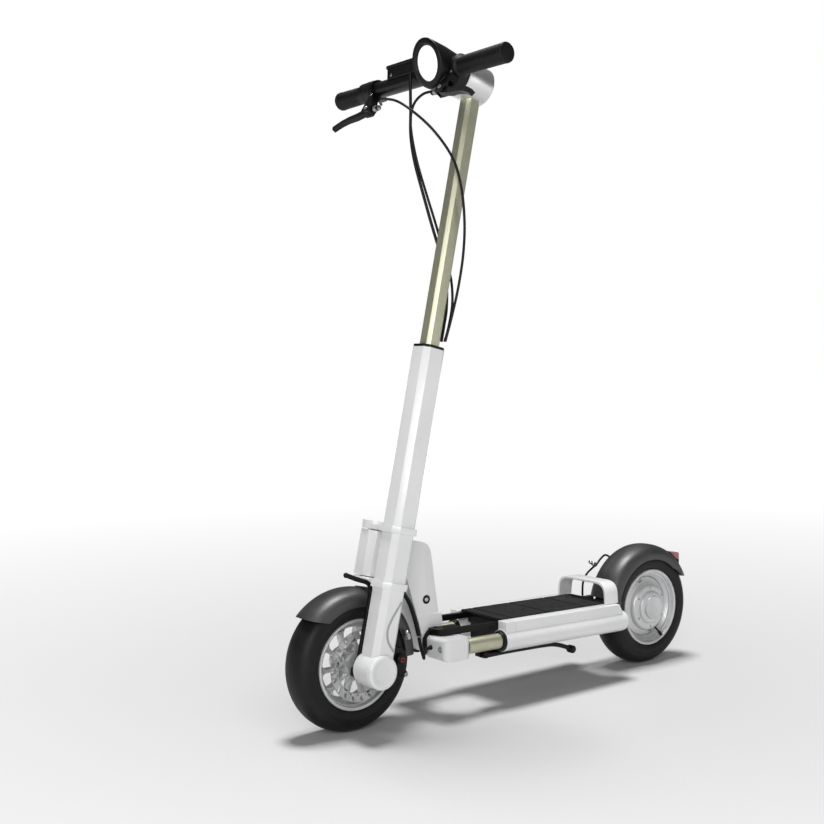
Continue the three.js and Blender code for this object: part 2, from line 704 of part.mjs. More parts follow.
function rearArm() {
  const profile = ribbon(
    [[-673, 123.5], [-700, 124.5], [-760, AXLE_HEIGHT], [-822, AXLE_HEIGHT]], [20, 17, 16, 19]);
  const plate = prismY(profile, -62, -50);
  return cut(plate, cylinderY(8.3, -80, -40, { x: -WHEELBASE, z: AXLE_HEIGHT }));
}

function rearAxle() {
  return turnedY([
    [0, -70], [11, -70], [12, -68], [12, -62.4], [8, -62.4], [8, 42], [0, 42],
  ], 24).translate(-WHEELBASE, 0, AXLE_HEIGHT);
}

function rearMudguard() {
  const underTail = polygon([[-60, 84.5], [-230, 3], [-230, -60], [-60, -60]]);
  const shell = cut(channel(14, 166), prismY(underTail, -60, 60));
  const guard = shell.translate(-WHEELBASE, 0, AXLE_HEIGHT);
  const lug = boxBetween([-686, 36.2, 150], [-641, 46, 158]);
  return join(guard, lug, mirrorY(lug));
}

// Keeps the tail lamp off the mudguard that it stands on.
function guardSpace() {
  return cylinderY(FENDER.outer + 0.9, -60, 60, { x: -WHEELBASE, z: AXLE_HEIGHT, sides: 60 });
}

function tailHousing() {
  const outline = polygon([[-911, 221.8], [-911, 203], [-903, 198], [-868, 215], [-868, 226.6]]);
  return cut(prismY(outline, -20, 20), guardSpace());
}

function tailLens() {
  const outline = polygon([[-911, 222.1], [-868, 226.9], [-868, 243.5], [-908, 237.4], [-911, 235]]);
  return cut(prismY(outline, -20, 20), guardSpace());
}

function kickstandBracket() {
  const { x, y, z, ball } = KICKSTAND;
  const outline = polygon([
    [-372, 98.5], [x, 98.5], [x + 13, 104], [x + 13, 111], [x + 8, 115], [-311, 115], [-315, 111.5], [-337, 108.8],
    [-372, 108.5],
  ]);
  const block = prismY(outline, 45, y - 5);
  return cut(block, new THREE.SphereGeometry(ball + 2 * GAP, 16, 10).translate(x, y, z));
}

function kickstand() {
  const { x, y, z, ball } = KICKSTAND;
  const rod = tube([
    [x, y, z], [-300, y, 107], [-318, y, 105.6], [-345, y, 104.8], [-375, y, 104], [-448, y, 101.5],
    [-478, y, 97], [-504, y, 88.5], [-516, y, 83],
  ], 4.5, { sides: 8, steps: 16 });
  const hub = new THREE.SphereGeometry(ball, 16, 10).translate(x, y, z);
  const foot = cylinderY(8, y - 7, y + 7, { x: -519, z: 82, sides: 16 });
  return join(rod, hub, foot);
}

function rearBrakeArm() {
  const arm = ribbon([[-800, 127.5], [-795, 150], [-786, 172]], [13, 7, 5]);
  return cut(prismY(arm, -49.6, -44.4), cylinderY(8.3, -60, -40, { x: -WHEELBASE, z: AXLE_HEIGHT }));
}

function rearFrame() {
  const group = new THREE.Group();
  SIDES.forEach(([name, side]) => {
    group.add(node(`rail_${name}`, 'whitePaint', tilted(rail(side))));
    group.add(node(`rail_seal_${name}`, 'plastic', tilted(railSeal(side))));
  });
  group.add(node('deck_box', 'blackPaint', tilted(deckBox())));
  group.add(node('deck_mat', 'rubber', tilted(deckMat())));
  group.add(node('deck_handle', 'whitePaint', tilted(deckHandle())));
  group.add(node('rear_arm', 'whitePaint', rearArm()));
  group.add(node('rear_axle', 'steel', rearAxle()));
  group.add(node('rear_mudguard', 'plastic', rearMudguard()));
  group.add(node('tail_housing', 'plastic', tailHousing()));
  group.add(node('tail_lens', 'redLens', tailLens()));
  group.add(node('kickstand_bracket', 'blackPaint', kickstandBracket()));
  group.add(node('kickstand', 'blackPaint', kickstand()));
  group.add(node('rear_brake_arm', 'blackPaint', rearBrakeArm()));
  return group;
}

// ---------------------------------------------------------------- cables

// Each route is a list of points chosen by hand, in the frame of the whole scooter.
const CABLE_ROUTES = {
  cable_display: {
    radius: 2.9,
    steps: 30,
    route: [
      [-151, 8, 1222], [-151, 8, 1200], [-148, 12, 1150], [-140, 22, 1100], [-141, 32, 1050],
      [-152, 43, 990], [-164, 52, 935], [-178, 60, 880], [-187, 66, 830], [-184, 70, 780],
      [-175, 73, 745], [-166, 76, 716],
    ],
  },
  cable_brake_left: {
    radius: 2.5,
    steps: 38,
    route: [
      [-148, 78, 1174], [-138, 62, 1170], [-132, 44, 1156], [-134, 30, 1132], [-137, 29, 1100],
      [-142, 38, 1050], [-156, 48, 990], [-168, 55, 945], [-183, 57.5, 900], [-193, 63, 862],
      [-196, 71, 825], [-193, 76, 785], [-181, 80, 745], [-169, 82, 716],
    ],
  },
  cable_brake_right: {
    radius: 2.5,
    steps: 46,
    route: [
      [-148, -80, 1176], [-130, -60, 1178], [-112, -20, 1172], [-104, 30, 1158], [-112, 70, 1132],
      [-136, 98, 1096], [-166, 112, 1050], [-186, 112, 1000], [-197, 108, 940], [-199, 102, 880],
      [-193, 95, 820], [-181, 90, 765], [-166.5, 87, 716],
    ],
  },
  cable_neck_upper: {
    radius: 4.2,
    steps: 12,
    route: [
      [-66, 52, 264], [-78, 47, 262], [-98, 37, 252], [-121, 30, 226], [-135, 29.2, 192],
      [-144, 29.2, 160],
    ],
  },
  cable_neck_lower: {
    radius: 3.2,
    steps: 12,
    route: [
      [-144.6, 29, 155], [-148, 29.5, 138], [-151, 32, 123], [-149, 38, 117], [-145, 43, 124],
      [-149, 44, 135], [-159, 44, 137],
    ],
  },
  cable_rear: {
    radius: 2.3,
    steps: 24,
    route: [
      [-656, -38, 160.6], [-656, -38, 172], [-657, -38, 186], [-662, -38.5, 198], [-674, -40, 209],
      [-690, -41.5, 217], [-706, -43, 224], [-722, -46, 234], [-742, -50, 240], [-765, -54, 228],
      [-780, -56, 203], [-785, -54, 182],
    ],
  },
};

function cables() {
  return Object.entries(CABLE_ROUTES).map(([name, { radius, steps, route }]) => (
    node(name, 'cable', tube(route, radius, { sides: 8, steps }))
  ));
}

// ---------------------------------------------------------------- the whole scooter

const scooter = new THREE.Group();
const steered = steeringFrame();
steered.add(steering(), upperStem());
scooter.add(frontWheel(), rearWheel(), steered, neck(), frontFrame(), rearFrame());

cables().forEach((cable) => scooter.add(cable));

const bounds = new THREE.Box3().setFromObject(scooter, true);
const middle = bounds.getCenter(new THREE.Vector3());
scooter.position.set(-middle.x, -middle.y, -bounds.min.z);
scooter.updateMatrixWorld(true);

export default scooter;
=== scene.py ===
"""Electric kick scooter: the fine surfaces, materials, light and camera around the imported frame.

Shapes are in millimetres until they are placed. Two frames are used: GROUND has its origin where the
front tyre meets the floor, and STEER has its origin on the front axle with z up along the leg.
"""

import math

import bmesh
import bpy
from mathutils import Matrix, Vector


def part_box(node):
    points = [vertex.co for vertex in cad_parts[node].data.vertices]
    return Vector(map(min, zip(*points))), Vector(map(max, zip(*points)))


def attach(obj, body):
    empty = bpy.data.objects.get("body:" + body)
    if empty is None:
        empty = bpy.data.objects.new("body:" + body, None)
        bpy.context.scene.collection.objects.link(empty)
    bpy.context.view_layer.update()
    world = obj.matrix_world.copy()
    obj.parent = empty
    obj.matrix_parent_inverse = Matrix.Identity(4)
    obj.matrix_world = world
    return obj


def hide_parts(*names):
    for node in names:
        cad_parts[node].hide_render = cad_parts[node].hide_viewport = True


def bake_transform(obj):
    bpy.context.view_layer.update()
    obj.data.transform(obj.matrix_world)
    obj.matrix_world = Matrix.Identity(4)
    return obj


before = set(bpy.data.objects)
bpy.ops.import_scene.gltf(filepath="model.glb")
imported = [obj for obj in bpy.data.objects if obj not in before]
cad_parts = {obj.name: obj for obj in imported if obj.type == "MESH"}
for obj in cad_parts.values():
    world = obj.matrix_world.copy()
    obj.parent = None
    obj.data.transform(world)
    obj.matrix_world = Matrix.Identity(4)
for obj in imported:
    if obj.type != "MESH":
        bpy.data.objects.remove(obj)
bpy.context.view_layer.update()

# ------------------------------------------------------------------ driving dimensions

MM = 0.001
RAKE = math.radians(12.6)
FRONT_AXLE = (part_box("front_tyre")[0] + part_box("front_tyre")[1]) / 2
REAR_AXLE = (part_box("rear_tyre")[0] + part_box("rear_tyre")[1]) / 2
WHEELBASE = (FRONT_AXLE.x - REAR_AXLE.x) / MM
TYRE_RADIUS = 127.5
LEG = {"x": -4, "y": 80}
HEAD_Z = 1098
BAR_X = 67
RAIL = {"y": 70, "z": 134.5, "radius": 22, "front": -316, "back": -672}
HINGE = {"x": -185, "z": 141}
DECK_TILT = 1.3
SLIDE_TUBE = {"radius": 15, "front": -226, "back": -470}
BLOCK_SCREW = {"x": -164.4, "y": 71, "z": 137}
LOCK = {"x": -167, "z": 225}
CALIPER_PIVOT = {"x": -77.6, "z": 19.2}
# The mudguards' arcs are in degrees about their wheels. The front one is cut level above its axle.
FRONT_GUARD = {"first": 36, "last": 180, "cut": 69.3}
REAR_GUARD = {"first": 14, "last": 166}
# The lamp's front leans by this angle, worked in over a short length behind the lens.
LAMP_LEAN = {"degrees": 25, "from": 88, "over": 13}
DISPLAY = {"low": 6.4, "high": 29.4, "right": -76, "left": 36}
KICKSTAND_FOOT = {"x": -519, "y": 62, "z": 82}
SIDES = {"left": 1, "right": -1}

GROUND = Matrix.Translation((FRONT_AXLE.x, FRONT_AXLE.y, 0)) @ Matrix.Scale(MM, 4)
STEER = GROUND @ Matrix.Translation((0, 0, TYRE_RADIUS)) @ Matrix.Rotation(-RAKE, 4, "Y")
FRONT_HUB = GROUND @ Matrix.Translation((0, 0, TYRE_RADIUS))
REAR_HUB = GROUND @ Matrix.Translation((-WHEELBASE, 0, TYRE_RADIUS))


def at(x=0.0, y=0.0, z=0.0):
    return Matrix.Translation((x, y, z))


def turn(degrees, axis):
    return Matrix.Rotation(math.radians(degrees), 4, axis)


MIRROR = Matrix.Scale(-1, 4, (0, 1, 0))
TILTED = at(HINGE["x"], 0, HINGE["z"]) @ turn(-DECK_TILT, "Y") @ at(-HINGE["x"], 0, -HINGE["z"])

# ------------------------------------------------------------------ camera

CAMERA_AT = (1268.6, 1826.1, 685.9)
CAMERA_YAW = 232.064
CAMERA_PITCH = -2.541
CAMERA_ROLL = -0.464
CAMERA_LENS = 53.09


def make_camera():
    yaw, pitch, roll = (math.radians(v) for v in (CAMERA_YAW, CAMERA_PITCH, CAMERA_ROLL))
    ahead = Vector((math.cos(yaw) * math.cos(pitch), math.sin(yaw) * math.cos(pitch), math.sin(pitch)))
    right = Vector((math.sin(yaw), -math.cos(yaw), 0))
    up = right.cross(ahead)
    across = right * math.cos(roll) + up * math.sin(roll)
    above = up * math.cos(roll) - right * math.sin(roll)
    rotation = Matrix((across, above, -ahead)).transposed().to_4x4()
    data = bpy.data.cameras.new("camera")
    data.lens = CAMERA_LENS
    data.sensor_width = 36
    camera = bpy.data.objects.new("camera", data)
    camera.matrix_world = Matrix.Translation(GROUND @ Vector(CAMERA_AT)) @ rotation
    bpy.context.scene.collection.objects.link(camera)
    bpy.context.scene.camera = camera


make_camera()

# ------------------------------------------------------------------ shader graphs


class Graph:
    """A node material that is being wired: textures go in, the Principled shader comes out."""

    def __init__(self, name, color=(0.5, 0.5, 0.5), **sockets):
        self.material = bpy.data.materials.new(name)
        self.material.use_nodes = True
        self.nodes = self.material.node_tree.nodes
        self.links = self.material.node_tree.links
        self.shader = self.nodes["Principled BSDF"]
        self.shader.inputs["Base Color"].default_value = (*color, 1)
        for socket, value in sockets.items():
            self.shader.inputs[socket.replace("_", " ").title().replace("Ior", "IOR")].default_value = value
        coordinates = self.nodes.new("ShaderNodeTexCoord")
        self.place = coordinates.outputs["Object"]
        self.uv = coordinates.outputs["UV"]

    def add(self, kind, inputs, output=0, **settings):
        node = self.nodes.new(kind)
        for key, value in settings.items():
            setattr(node, key, value)
        for key, value in inputs.items():
            if isinstance(value, bpy.types.NodeSocket):
                self.links.new(value, node.inputs[key])
            else:
                node.inputs[key].default_value = value
        return node.outputs[output]

    def set(self, socket, value):
        self.links.new(value, self.shader.inputs[socket])

    def stretched(self, x, y, z):
        return self.add("ShaderNodeMapping", {"Vector": self.place, "Scale": (x, y, z)})

    def noise(self, scale, detail=3.0, vector=None, roughness=0.55):
        inputs = {"Vector": vector or self.place, "Scale": scale, "Detail": detail, "Roughness": roughness}
        return self.add("ShaderNodeTexNoise", inputs)

    def cells(self, scale, vector=None):
        return self.add("ShaderNodeTexVoronoi", {"Vector": vector or self.place, "Scale": scale})

    def remap(self, value, low, high, to_low, to_high):
        inputs = {"Value": value, "From Min": low, "From Max": high, "To Min": to_low, "To Max": to_high}
        return self.add("ShaderNodeMapRange", inputs)

    def math(self, operation, a, b=0.0):
        return self.add("ShaderNodeMath", {0: a, 1: b}, operation=operation)

    def mix(self, factor, a, b):
        node = self.nodes.new("ShaderNodeMix")
        node.data_type = "RGBA"
        for socket, value in ((node.inputs[0], factor), (node.inputs[6], a), (node.inputs[7], b)):
            if isinstance(value, bpy.types.NodeSocket):
                self.links.new(value, socket)
            elif isinstance(value, tuple):
                socket.default_value = (*value, 1)
            else:
                socket.default_value = value
        return node.outputs[2]

    def bump(self, height, strength, distance=0.0005, normal=None):
        inputs = {"Height": height, "Strength": strength, "Distance": distance}
        if normal is not None:
            inputs["Normal"] = normal
        return self.add("ShaderNodeBump", inputs)

    def axis(self, vector, name):
        return self.add("ShaderNodeSeparateXYZ", {"Vector": vector}, output=name)


def coated(name, color, shade, roughness, coat, peel, gloss=0.5):
    """Sprayed or powder-coated metal: faint clouding, orange peel and a few rubbed patches."""
    graph = Graph(name, color, coat_weight=coat, coat_roughness=0.12, specular_ior_level=gloss)
    clouds = graph.noise(7, 4)
    graph.set("Base Color", graph.mix(graph.remap(clouds, 0.35, 0.7, 0, 1), color, shade))
    rubbed = graph.noise(38, 6, roughness=0.7)
    graph.set("Roughness", graph.remap(rubbed, 0.3, 0.75, roughness, roughness + 0.12))
    graph.set("Normal", graph.bump(graph.noise(850, 2), peel, 0.0002))
    return graph.material


def anodised(name, color, shade):
    """Anodised aluminium with a fine speckle drawn out a little along the tube."""
    graph = Graph(name, color, metallic=0.72)
    speckle = graph.noise(620, 3, graph.stretched(1, 1, 0.45), 0.7)
    cloud = graph.noise(9, 3)
    mottled = graph.math("ADD", graph.math("MULTIPLY", speckle, 0.75), graph.math("MULTIPLY", cloud, 0.25))
    graph.set("Base Color", graph.mix(graph.remap(mottled, 0.36, 0.62, 0, 1), shade, color))
    graph.set("Roughness", graph.remap(speckle, 0.3, 0.7, 0.32, 0.5))
    graph.set("Normal", graph.bump(speckle, 0.12, 0.0003))
    return graph.material


def bare_metal(name, color, shade, roughness, grain=(1, 1, 1), scale=260, metallic=0.9):
    """Cast, turned or brushed metal: grain, soft stains and uneven polish."""
    graph = Graph(name, color, metallic=metallic)
    fine = graph.noise(scale, 4, graph.stretched(*grain), 0.65)
    stains = graph.noise(21, 5)
    graph.set("Base Color", graph.mix(graph.remap(stains, 0.38, 0.68, 0, 1), color, shade))
    graph.set("Roughness", graph.remap(fine, 0.3, 0.7, roughness - 0.06, roughness + 0.12))
    graph.set("Normal", graph.bump(fine, 0.1, 0.0003))
    return graph.material


def moulded(name, color, shade, roughness, grain, scale=520, gloss=0.34):
    """Moulded plastic or rubber with an etched grain and dull, dusty patches."""
    graph = Graph(name, color, specular_ior_level=gloss)
    etched = graph.noise(scale, 3, roughness=0.6)
    dust = graph.noise(17, 6, roughness=0.68)
    graph.set("Base Color", graph.mix(graph.remap(dust, 0.42, 0.72, 0, 1), color, shade))
    graph.set("Roughness", graph.remap(dust, 0.3, 0.75, roughness - 0.07, roughness + 0.1))
    graph.set("Normal", graph.bump(etched, grain, 0.0004))
    return graph.material


def tyre_rubber():
    """Tyre: sipes cut across both shoulders, ring lines on the sidewall and a dusty tread; the sipes are
    painted darker than the rubber, a painted shade in the cuts.
    """
    graph = Graph("tyre_rubber", (0.007, 0.007, 0.0073), specular_ior_level=0.26)
    around = graph.axis(graph.uv, "X")
    across = graph.axis(graph.uv, "Y")
    middle = graph.math("ABSOLUTE", graph.math("SUBTRACT", across, 0.5))
    side = graph.math("GREATER_THAN", across, 0.5)
    bend = graph.math("MULTIPLY", graph.math("SINE", graph.math("MULTIPLY", middle, 22.0)), 0.10)
    count = graph.math("ADD", graph.math("MULTIPLY", around, 30.0), graph.math("MULTIPLY", side, 0.5))
    phase = graph.math("FRACT", graph.math("ADD", count, bend))
    line = graph.math("LESS_THAN", graph.math("ABSOLUTE", graph.math("SUBTRACT", phase, 0.5)), 0.028)
    inside = graph.math("LESS_THAN", graph.math("ABSOLUTE", graph.math("SUBTRACT", middle, 0.135)), 0.065)
    sipe = graph.math("MULTIPLY", line, inside)
    dust = graph.noise(24, 6, roughness=0.7)
    worn = graph.mix(graph.remap(dust, 0.4, 0.75, 0, 1), (0.006, 0.006, 0.0063), (0.013, 0.013, 0.0127))
    # Painted shade: the sipes take a darker colour than the plain rubber, standing in for the shade inside
    # the cuts.
    graph.set("Base Color", graph.mix(sipe, worn, (0.004, 0.004, 0.004)))
    graph.set("Roughness", graph.remap(dust, 0.3, 0.75, 0.44, 0.62))
    fine = graph.bump(graph.noise(700, 3), 0.16, 0.0003)
    cut = graph.math("SUBTRACT", 1.0, sipe)
    graph.set("Normal", graph.bump(cut, 0.55, 0.0008, fine))
    return graph.material


def lamp_glass():
    """Opal lens of the head lamp with a faint moulded ripple."""
    graph = Graph("lamp_glass", (0.93, 0.93, 0.92), roughness=0.12, coat_weight=0.6)
    ripple = graph.cells(95)
    depth = graph.remap(ripple, 0, 0.6, 0, 1)
    graph.set("Base Color", graph.mix(depth, (0.95, 0.95, 0.94), (0.9, 0.9, 0.9)))
    graph.set("Emission Color", graph.mix(depth, (1, 1, 0.99), (0.94, 0.95, 0.95)))
    graph.shader.inputs["Emission Strength"].default_value = 0.55
    graph.set("Normal", graph.bump(ripple, 0.08, 0.0005))
    return graph.material


def tail_glass():
    """Red lens of the tail lamp with fine moulded ribs."""
    graph = Graph("tail_glass", (0.32, 0.03, 0.05), roughness=0.14, coat_weight=0.5,
                  transmission_weight=0.25)
    ribs = graph.math("PINGPONG", graph.math("MULTIPLY", graph.axis(graph.place, "Y"), 900.0), 1.0)
    graph.set("Base Color", graph.mix(ribs, (0.42, 0.13, 0.14), (0.27, 0.04, 0.05)))
    graph.set("Normal", graph.bump(ribs, 0.25, 0.0004))
    return graph.material


def screen_glass():
    """Dark glass over the display, with faint smears."""
    graph = Graph("screen_glass", (0.01, 0.01, 0.012), coat_weight=1.0, coat_roughness=0.03)
    smears = graph.noise(45, 5)
    graph.set("Roughness", graph.remap(smears, 0.4, 0.7, 0.06, 0.2))
    graph.set("Base Color", graph.mix(smears, (0.008, 0.008, 0.01), (0.02, 0.021, 0.024)))
    return graph.material


LOOKS = {
    "white": coated("white_coat", (0.80, 0.80, 0.805), (0.74, 0.745, 0.75), 0.3, 0.35, 0.05),
    "black": coated("black_coat", (0.003, 0.003, 0.0032), (0.006, 0.006, 0.0062), 0.34, 0.0, 0.16, 0.22),
    "satin": bare_metal("satin_silver_coat", (0.66, 0.66, 0.67), (0.6, 0.6, 0.61), 0.28, scale=1500),
    "gold": anodised("gold_anodised", (0.56, 0.56, 0.42), (0.46, 0.455, 0.335)),
    "alloy": bare_metal("bare_alloy", (0.7, 0.705, 0.71), (0.6, 0.605, 0.61), 0.44, metallic=0.6),
    "steel": bare_metal("bright_steel", (0.48, 0.48, 0.48), (0.36, 0.355, 0.35), 0.3, scale=420),
    "disc": bare_metal("disc_steel", (0.5, 0.5, 0.505), (0.4, 0.4, 0.405), 0.5, (1, 0.2, 1), 540, 0.5),
    "tyre": tyre_rubber(),
    "rubber": moulded("grip_rubber", (0.003, 0.003, 0.0032), (0.007, 0.007, 0.007), 0.5, 0.3, 900, 0.24),
    "mat": moulded("mat_rubber", (0.006, 0.006, 0.006), (0.011, 0.011, 0.011), 0.62, 0.5, 420),
    "plastic": moulded("black_plastic", (0.003, 0.003, 0.0032), (0.007, 0.007, 0.0072), 0.42, 0.35, 620,
                       0.24),
    "guard": moulded("mudguard_plastic", (0.02, 0.02, 0.0205), (0.036, 0.036, 0.036), 0.46, 0.55, 430,
                     0.85),
    "sheath": moulded("cable_sheath", (0.003, 0.003, 0.003), (0.006, 0.006, 0.006), 0.4, 0.15, 300, 0.24),
    "lens": lamp_glass(),
    "tail": tail_glass(),
    "screen": screen_glass(),
    "red": coated("red_dot", (0.36, 0.012, 0.012), (0.28, 0.01, 0.01), 0.35, 0.2, 0.05),
    "grey": coated("grey_line", (0.4, 0.4, 0.41), (0.36, 0.36, 0.37), 0.45, 0.1, 0.05),
}

# ------------------------------------------------------------------ shapes, as bmeshes in millimetres

FLAT = {"X": Matrix(((0, 0, 1), (1, 0, 0), (0, 1, 0))).to_4x4(),
        "Y": Matrix(((1, 0, 0), (0, 0, 1), (0, 1, 0))).to_4x4(),
        "Z": Matrix.Identity(4)}


def smooth_line(points, per_span=6):
    """Catmull-Rom curve through the points."""
    points = [Vector(p) for p in points]
    ends = [points[0] * 2 - points[1]] + points + [points[-1] * 2 - points[-2]]
    line = []
    for a, b, c, d in zip(ends, ends[1:], ends[2:], ends[3:]):
        for i in range(per_span):
            t = i / per_span
            line.append(0.5 * (2 * b + (c - a) * t + (2 * a - 5 * b + 4 * c - d) * t * t
                               + (3 * b - a - 3 * c + d) * t ** 3))
    return line + [points[-1]]


def faces_out(bm):
    bmesh.ops.recalc_face_normals(bm, faces=bm.faces)
    return bm


def lathe(profile, axis="Y", steps=96, start=0.0, sweep=360.0):
    """Turns a closed loop of (radius, along) points about the axis, with u around it and v along it."""
    bm = bmesh.new()
    layer = bm.loops.layers.uv.new("UVMap")
    whole = sweep >= 360
    rings = []
    lengths = [0.0]
    for p, q in zip(profile, profile[1:]):
        lengths.append(lengths[-1] + math.dist(p, q))
    for i in range(steps + (0 if whole else 1)):
        angle = math.radians(start + sweep * i / steps)
        rings.append([bm.verts.new((r * math.cos(angle), y, r * math.sin(angle))) for r, y in profile])
    count = len(profile)
    for i in range(steps):
        here, there = rings[i], rings[(i + 1) % len(rings)]
        for j in range(count):
            k = (j + 1) % count
            face = bm.faces.new((here[j], here[k], there[k], there[j]))
            v0 = lengths[j] / lengths[-1]
            v1 = lengths[k] / lengths[-1] if k else 1.0
            for loop, u, v in zip(face.loops, (i, i, i + 1, i + 1), (v0, v1, v1, v0)):
                loop[layer].uv = (u / steps, v)
    if not whole:
        bm.faces.new(rings[0])
        bm.faces.new(reversed(rings[-1]))
    bmesh.ops.remove_doubles(bm, verts=bm.verts, dist=1e-4)
    if axis == "X":
        bm.transform(turn(-90, "Z"))
    if axis == "Z":
        bm.transform(turn(90, "X"))
    return faces_out(bm)


def solid_profile(points):
    """Closes a profile of (radius, along) points on the axis, so that the lathe makes it solid."""
    return [(0.0, points[0][1])] + list(points) + [(0.0, points[-1][1])]


def rod(radius, low, high, axis="Y", round_off=0.6, steps=40):
    """A cylinder with rounded rims."""
    e = min(round_off, radius * 0.45, (high - low) * 0.3)
    return lathe(solid_profile([(radius - e, low), (radius - 0.3 * e, low + 0.3 * e), (radius, low + e),
                                (radius, high - e), (radius - 0.3 * e, high - 0.3 * e), (radius - e, high)]),
                 axis, steps)


def prism(outline, low, high, axis="Z", round_off=0.0):
    bm = bmesh.new()
    bottom = [bm.verts.new((a, b, low)) for a, b in outline]
    top = [bm.verts.new((a, b, high)) for a, b in outline]
    count = len(outline)
    for i in range(count):
        bm.faces.new((bottom[i], bottom[(i + 1) % count], top[(i + 1) % count], top[i]))
    bm.faces.new(list(reversed(bottom)))
    bm.faces.new(top)
    bm.transform(FLAT[axis])
    faces_out(bm)
    return soften(bm, round_off) if round_off else bm


def block(low, high, round_off=0.0):
    (x0, y0, z0), (x1, y1, z1) = low, high
    return prism([(x0, y0), (x1, y0), (x1, y1), (x0, y1)], z0, z1, "Z", round_off)


def rounded(x0, x1, y0, y1, radius, steps=5):
    outline = []
    for cx, cy, first in ((x1 - radius, y1 - radius, 0), (x0 + radius, y1 - radius, 90),
                          (x0 + radius, y0 + radius, 180), (x1 - radius, y0 + radius, 270)):
        for i in range(steps + 1):
            angle = math.radians(first + 90 * i / steps)
            outline.append((cx + radius * math.cos(angle), cy + radius * math.sin(angle)))
    return outline


def soften(bm, offset, segments=3, above=28):
    """Rounds every edge that is sharper than the angle."""
    sharp = [e for e in bm.edges if len(e.link_faces) == 2 and e.calc_face_angle(0) > math.radians(above)]
    bmesh.ops.bevel(bm, geom=sharp, offset=offset, segments=segments, profile=0.6, affect="EDGES",
                    clamp_overlap=True)
    return bm


def tube(points, radius, sides=14, per_span=6, radii=None):
    """A round tube on a smooth line with closed ends. Returns the shape and its centre line."""
    line = smooth_line(points, per_span)
    bm = bmesh.new()
    layer = bm.loops.layers.uv.new("UVMap")
    tangent = (line[1] - line[0]).normalized()
    side = tangent.orthogonal().normalized()
    rings = []
    for i, p in enumerate(line):
        ahead = (line[min(i + 1, len(line) - 1)] - line[max(i - 1, 0)]).normalized()
        side = (side - ahead * side.dot(ahead)).normalized()
        other = ahead.cross(side)
        r = radii(i / (len(line) - 1)) if radii else radius
        rings.append([bm.verts.new(p + (side * math.cos(a) + other * math.sin(a)) * r)
                      for a in (2 * math.pi * k / sides for k in range(sides))])
    for i, (here, there) in enumerate(zip(rings, rings[1:])):
        for k in range(sides):
            n = (k + 1) % sides
            face = bm.faces.new((here[k], here[n], there[n], there[k]))
            for loop, u, v in zip(face.loops, (k, k + 1, k + 1, k), (i, i, i + 1, i + 1)):
                loop[layer].uv = (u / sides, v / len(line))
    bm.faces.new(list(reversed(rings[0])))
    bm.faces.new(rings[-1])
    return faces_out(bm), line


def ball(radius, centre=(0, 0, 0)):
    bm = bmesh.new()
    bmesh.ops.create_uvsphere(bm, u_segments=24, v_segments=14, radius=radius)
    bm.transform(Matrix.Translation(centre))
    return bm


def moved(bm, matrix):
    bm.transform(matrix)
    return faces_out(bm) if matrix.determinant() < 0 else bm


def merged(*shapes):
    """Puts several shapes into one."""
    whole = bmesh.new()
    whole.loops.layers.uv.new("UVMap")
    for shape in shapes:
        mesh = bpy.data.meshes.new("part")
        shape.to_mesh(mesh)
        shape.free()
        whole.from_mesh(mesh)
        bpy.data.meshes.remove(mesh)
    return whole


def around(make, count, axis="Y", first=0.0):
    """Copies of a shape set evenly around the axis."""
    return merged(*[moved(make(), turn(first + 360 * i / count, axis)) for i in range(count)])


def carved(shape, cutter):
    """The shape with the cutter taken out of it."""
    def temporary(bm):
        mesh = bpy.data.meshes.new("part")
        bm.to_mesh(mesh)
        bm.free()
        obj = bpy.data.objects.new("part", mesh)
        bpy.context.scene.collection.objects.link(obj)
        return obj
    body, tool = temporary(shape), temporary(cutter)
    modifier = body.modifiers.new("cut", "BOOLEAN")
    modifier.object = tool
    modifier.operation = "DIFFERENCE"
    modifier.solver = "EXACT"
    modifier.use_self = True
    bpy.context.view_layer.update()
    result = bmesh.new()
    result.from_mesh(body.evaluated_get(bpy.context.evaluated_depsgraph_get()).to_mesh())
    for obj in (body, tool):
        mesh = obj.data
        bpy.data.objects.remove(obj)
        bpy.data.meshes.remove(mesh)
    return result


def from_cad(node, round_off=0.0, segments=3, above=28):
    """The CAD solid of a node, in GROUND millimetres, with its flat faces whole and its edges rounded."""
    bm = bmesh.new()
    bm.from_mesh(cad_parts[node].data)
    bm.transform(GROUND.inverted())
    bmesh.ops.remove_doubles(bm, verts=bm.verts, dist=0.01)
    bmesh.ops.dissolve_limit(bm, angle_limit=math.radians(1.5), verts=bm.verts, edges=bm.edges)
    if round_off:
        soften(bm, round_off, segments, above)
    return bm


def piece(name, shape, look, body, place=GROUND, replaces=(), sharp=32, blend=None):
    """Turns a shape into an object that rides on a CAD body, or, when blend is given, stays fixed where it is
    placed.
    """
    shape.transform(place)
    if place.determinant() < 0:
        faces_out(shape)
    limit = math.radians(sharp)
    for face in shape.faces:
        face.smooth = True
    for edge in shape.edges:
        edge.smooth = len(edge.link_faces) == 2 and edge.calc_face_angle(0) < limit
    mesh = bpy.data.meshes.new(name)
    shape.to_mesh(mesh)
    shape.free()
    mesh.materials.append(LOOKS[look])
    obj = bpy.data.objects.new(name, mesh)
    bpy.context.scene.collection.objects.link(obj)
    if blend:
        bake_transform(obj)
    else:
        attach(obj, body)
    if replaces:
        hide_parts(*replaces)
    return obj


def refined(node, look, body, round_off=0.8, segments=3, above=28, sharp=32):
    """A CAD node redone with rounded edges."""
    shape = from_cad(node, round_off, segments, above)
    return piece(node + "_fine", shape, look, body, GROUND, [node], sharp)


def ribbon(line, widths):
    """Outline of a strip along a flat line, with a half width at each point."""
    line = [Vector(p) for p in line]
    left, right = [], []
    for i, p in enumerate(line):
        ahead = (line[min(i + 1, len(line) - 1)] - line[max(i - 1, 0)]).normalized()
        aside = Vector((-ahead.y, ahead.x))
        left.append(tuple(p + aside * widths[i]))
        right.append(tuple(p - aside * widths[i]))
    return left + right[::-1]


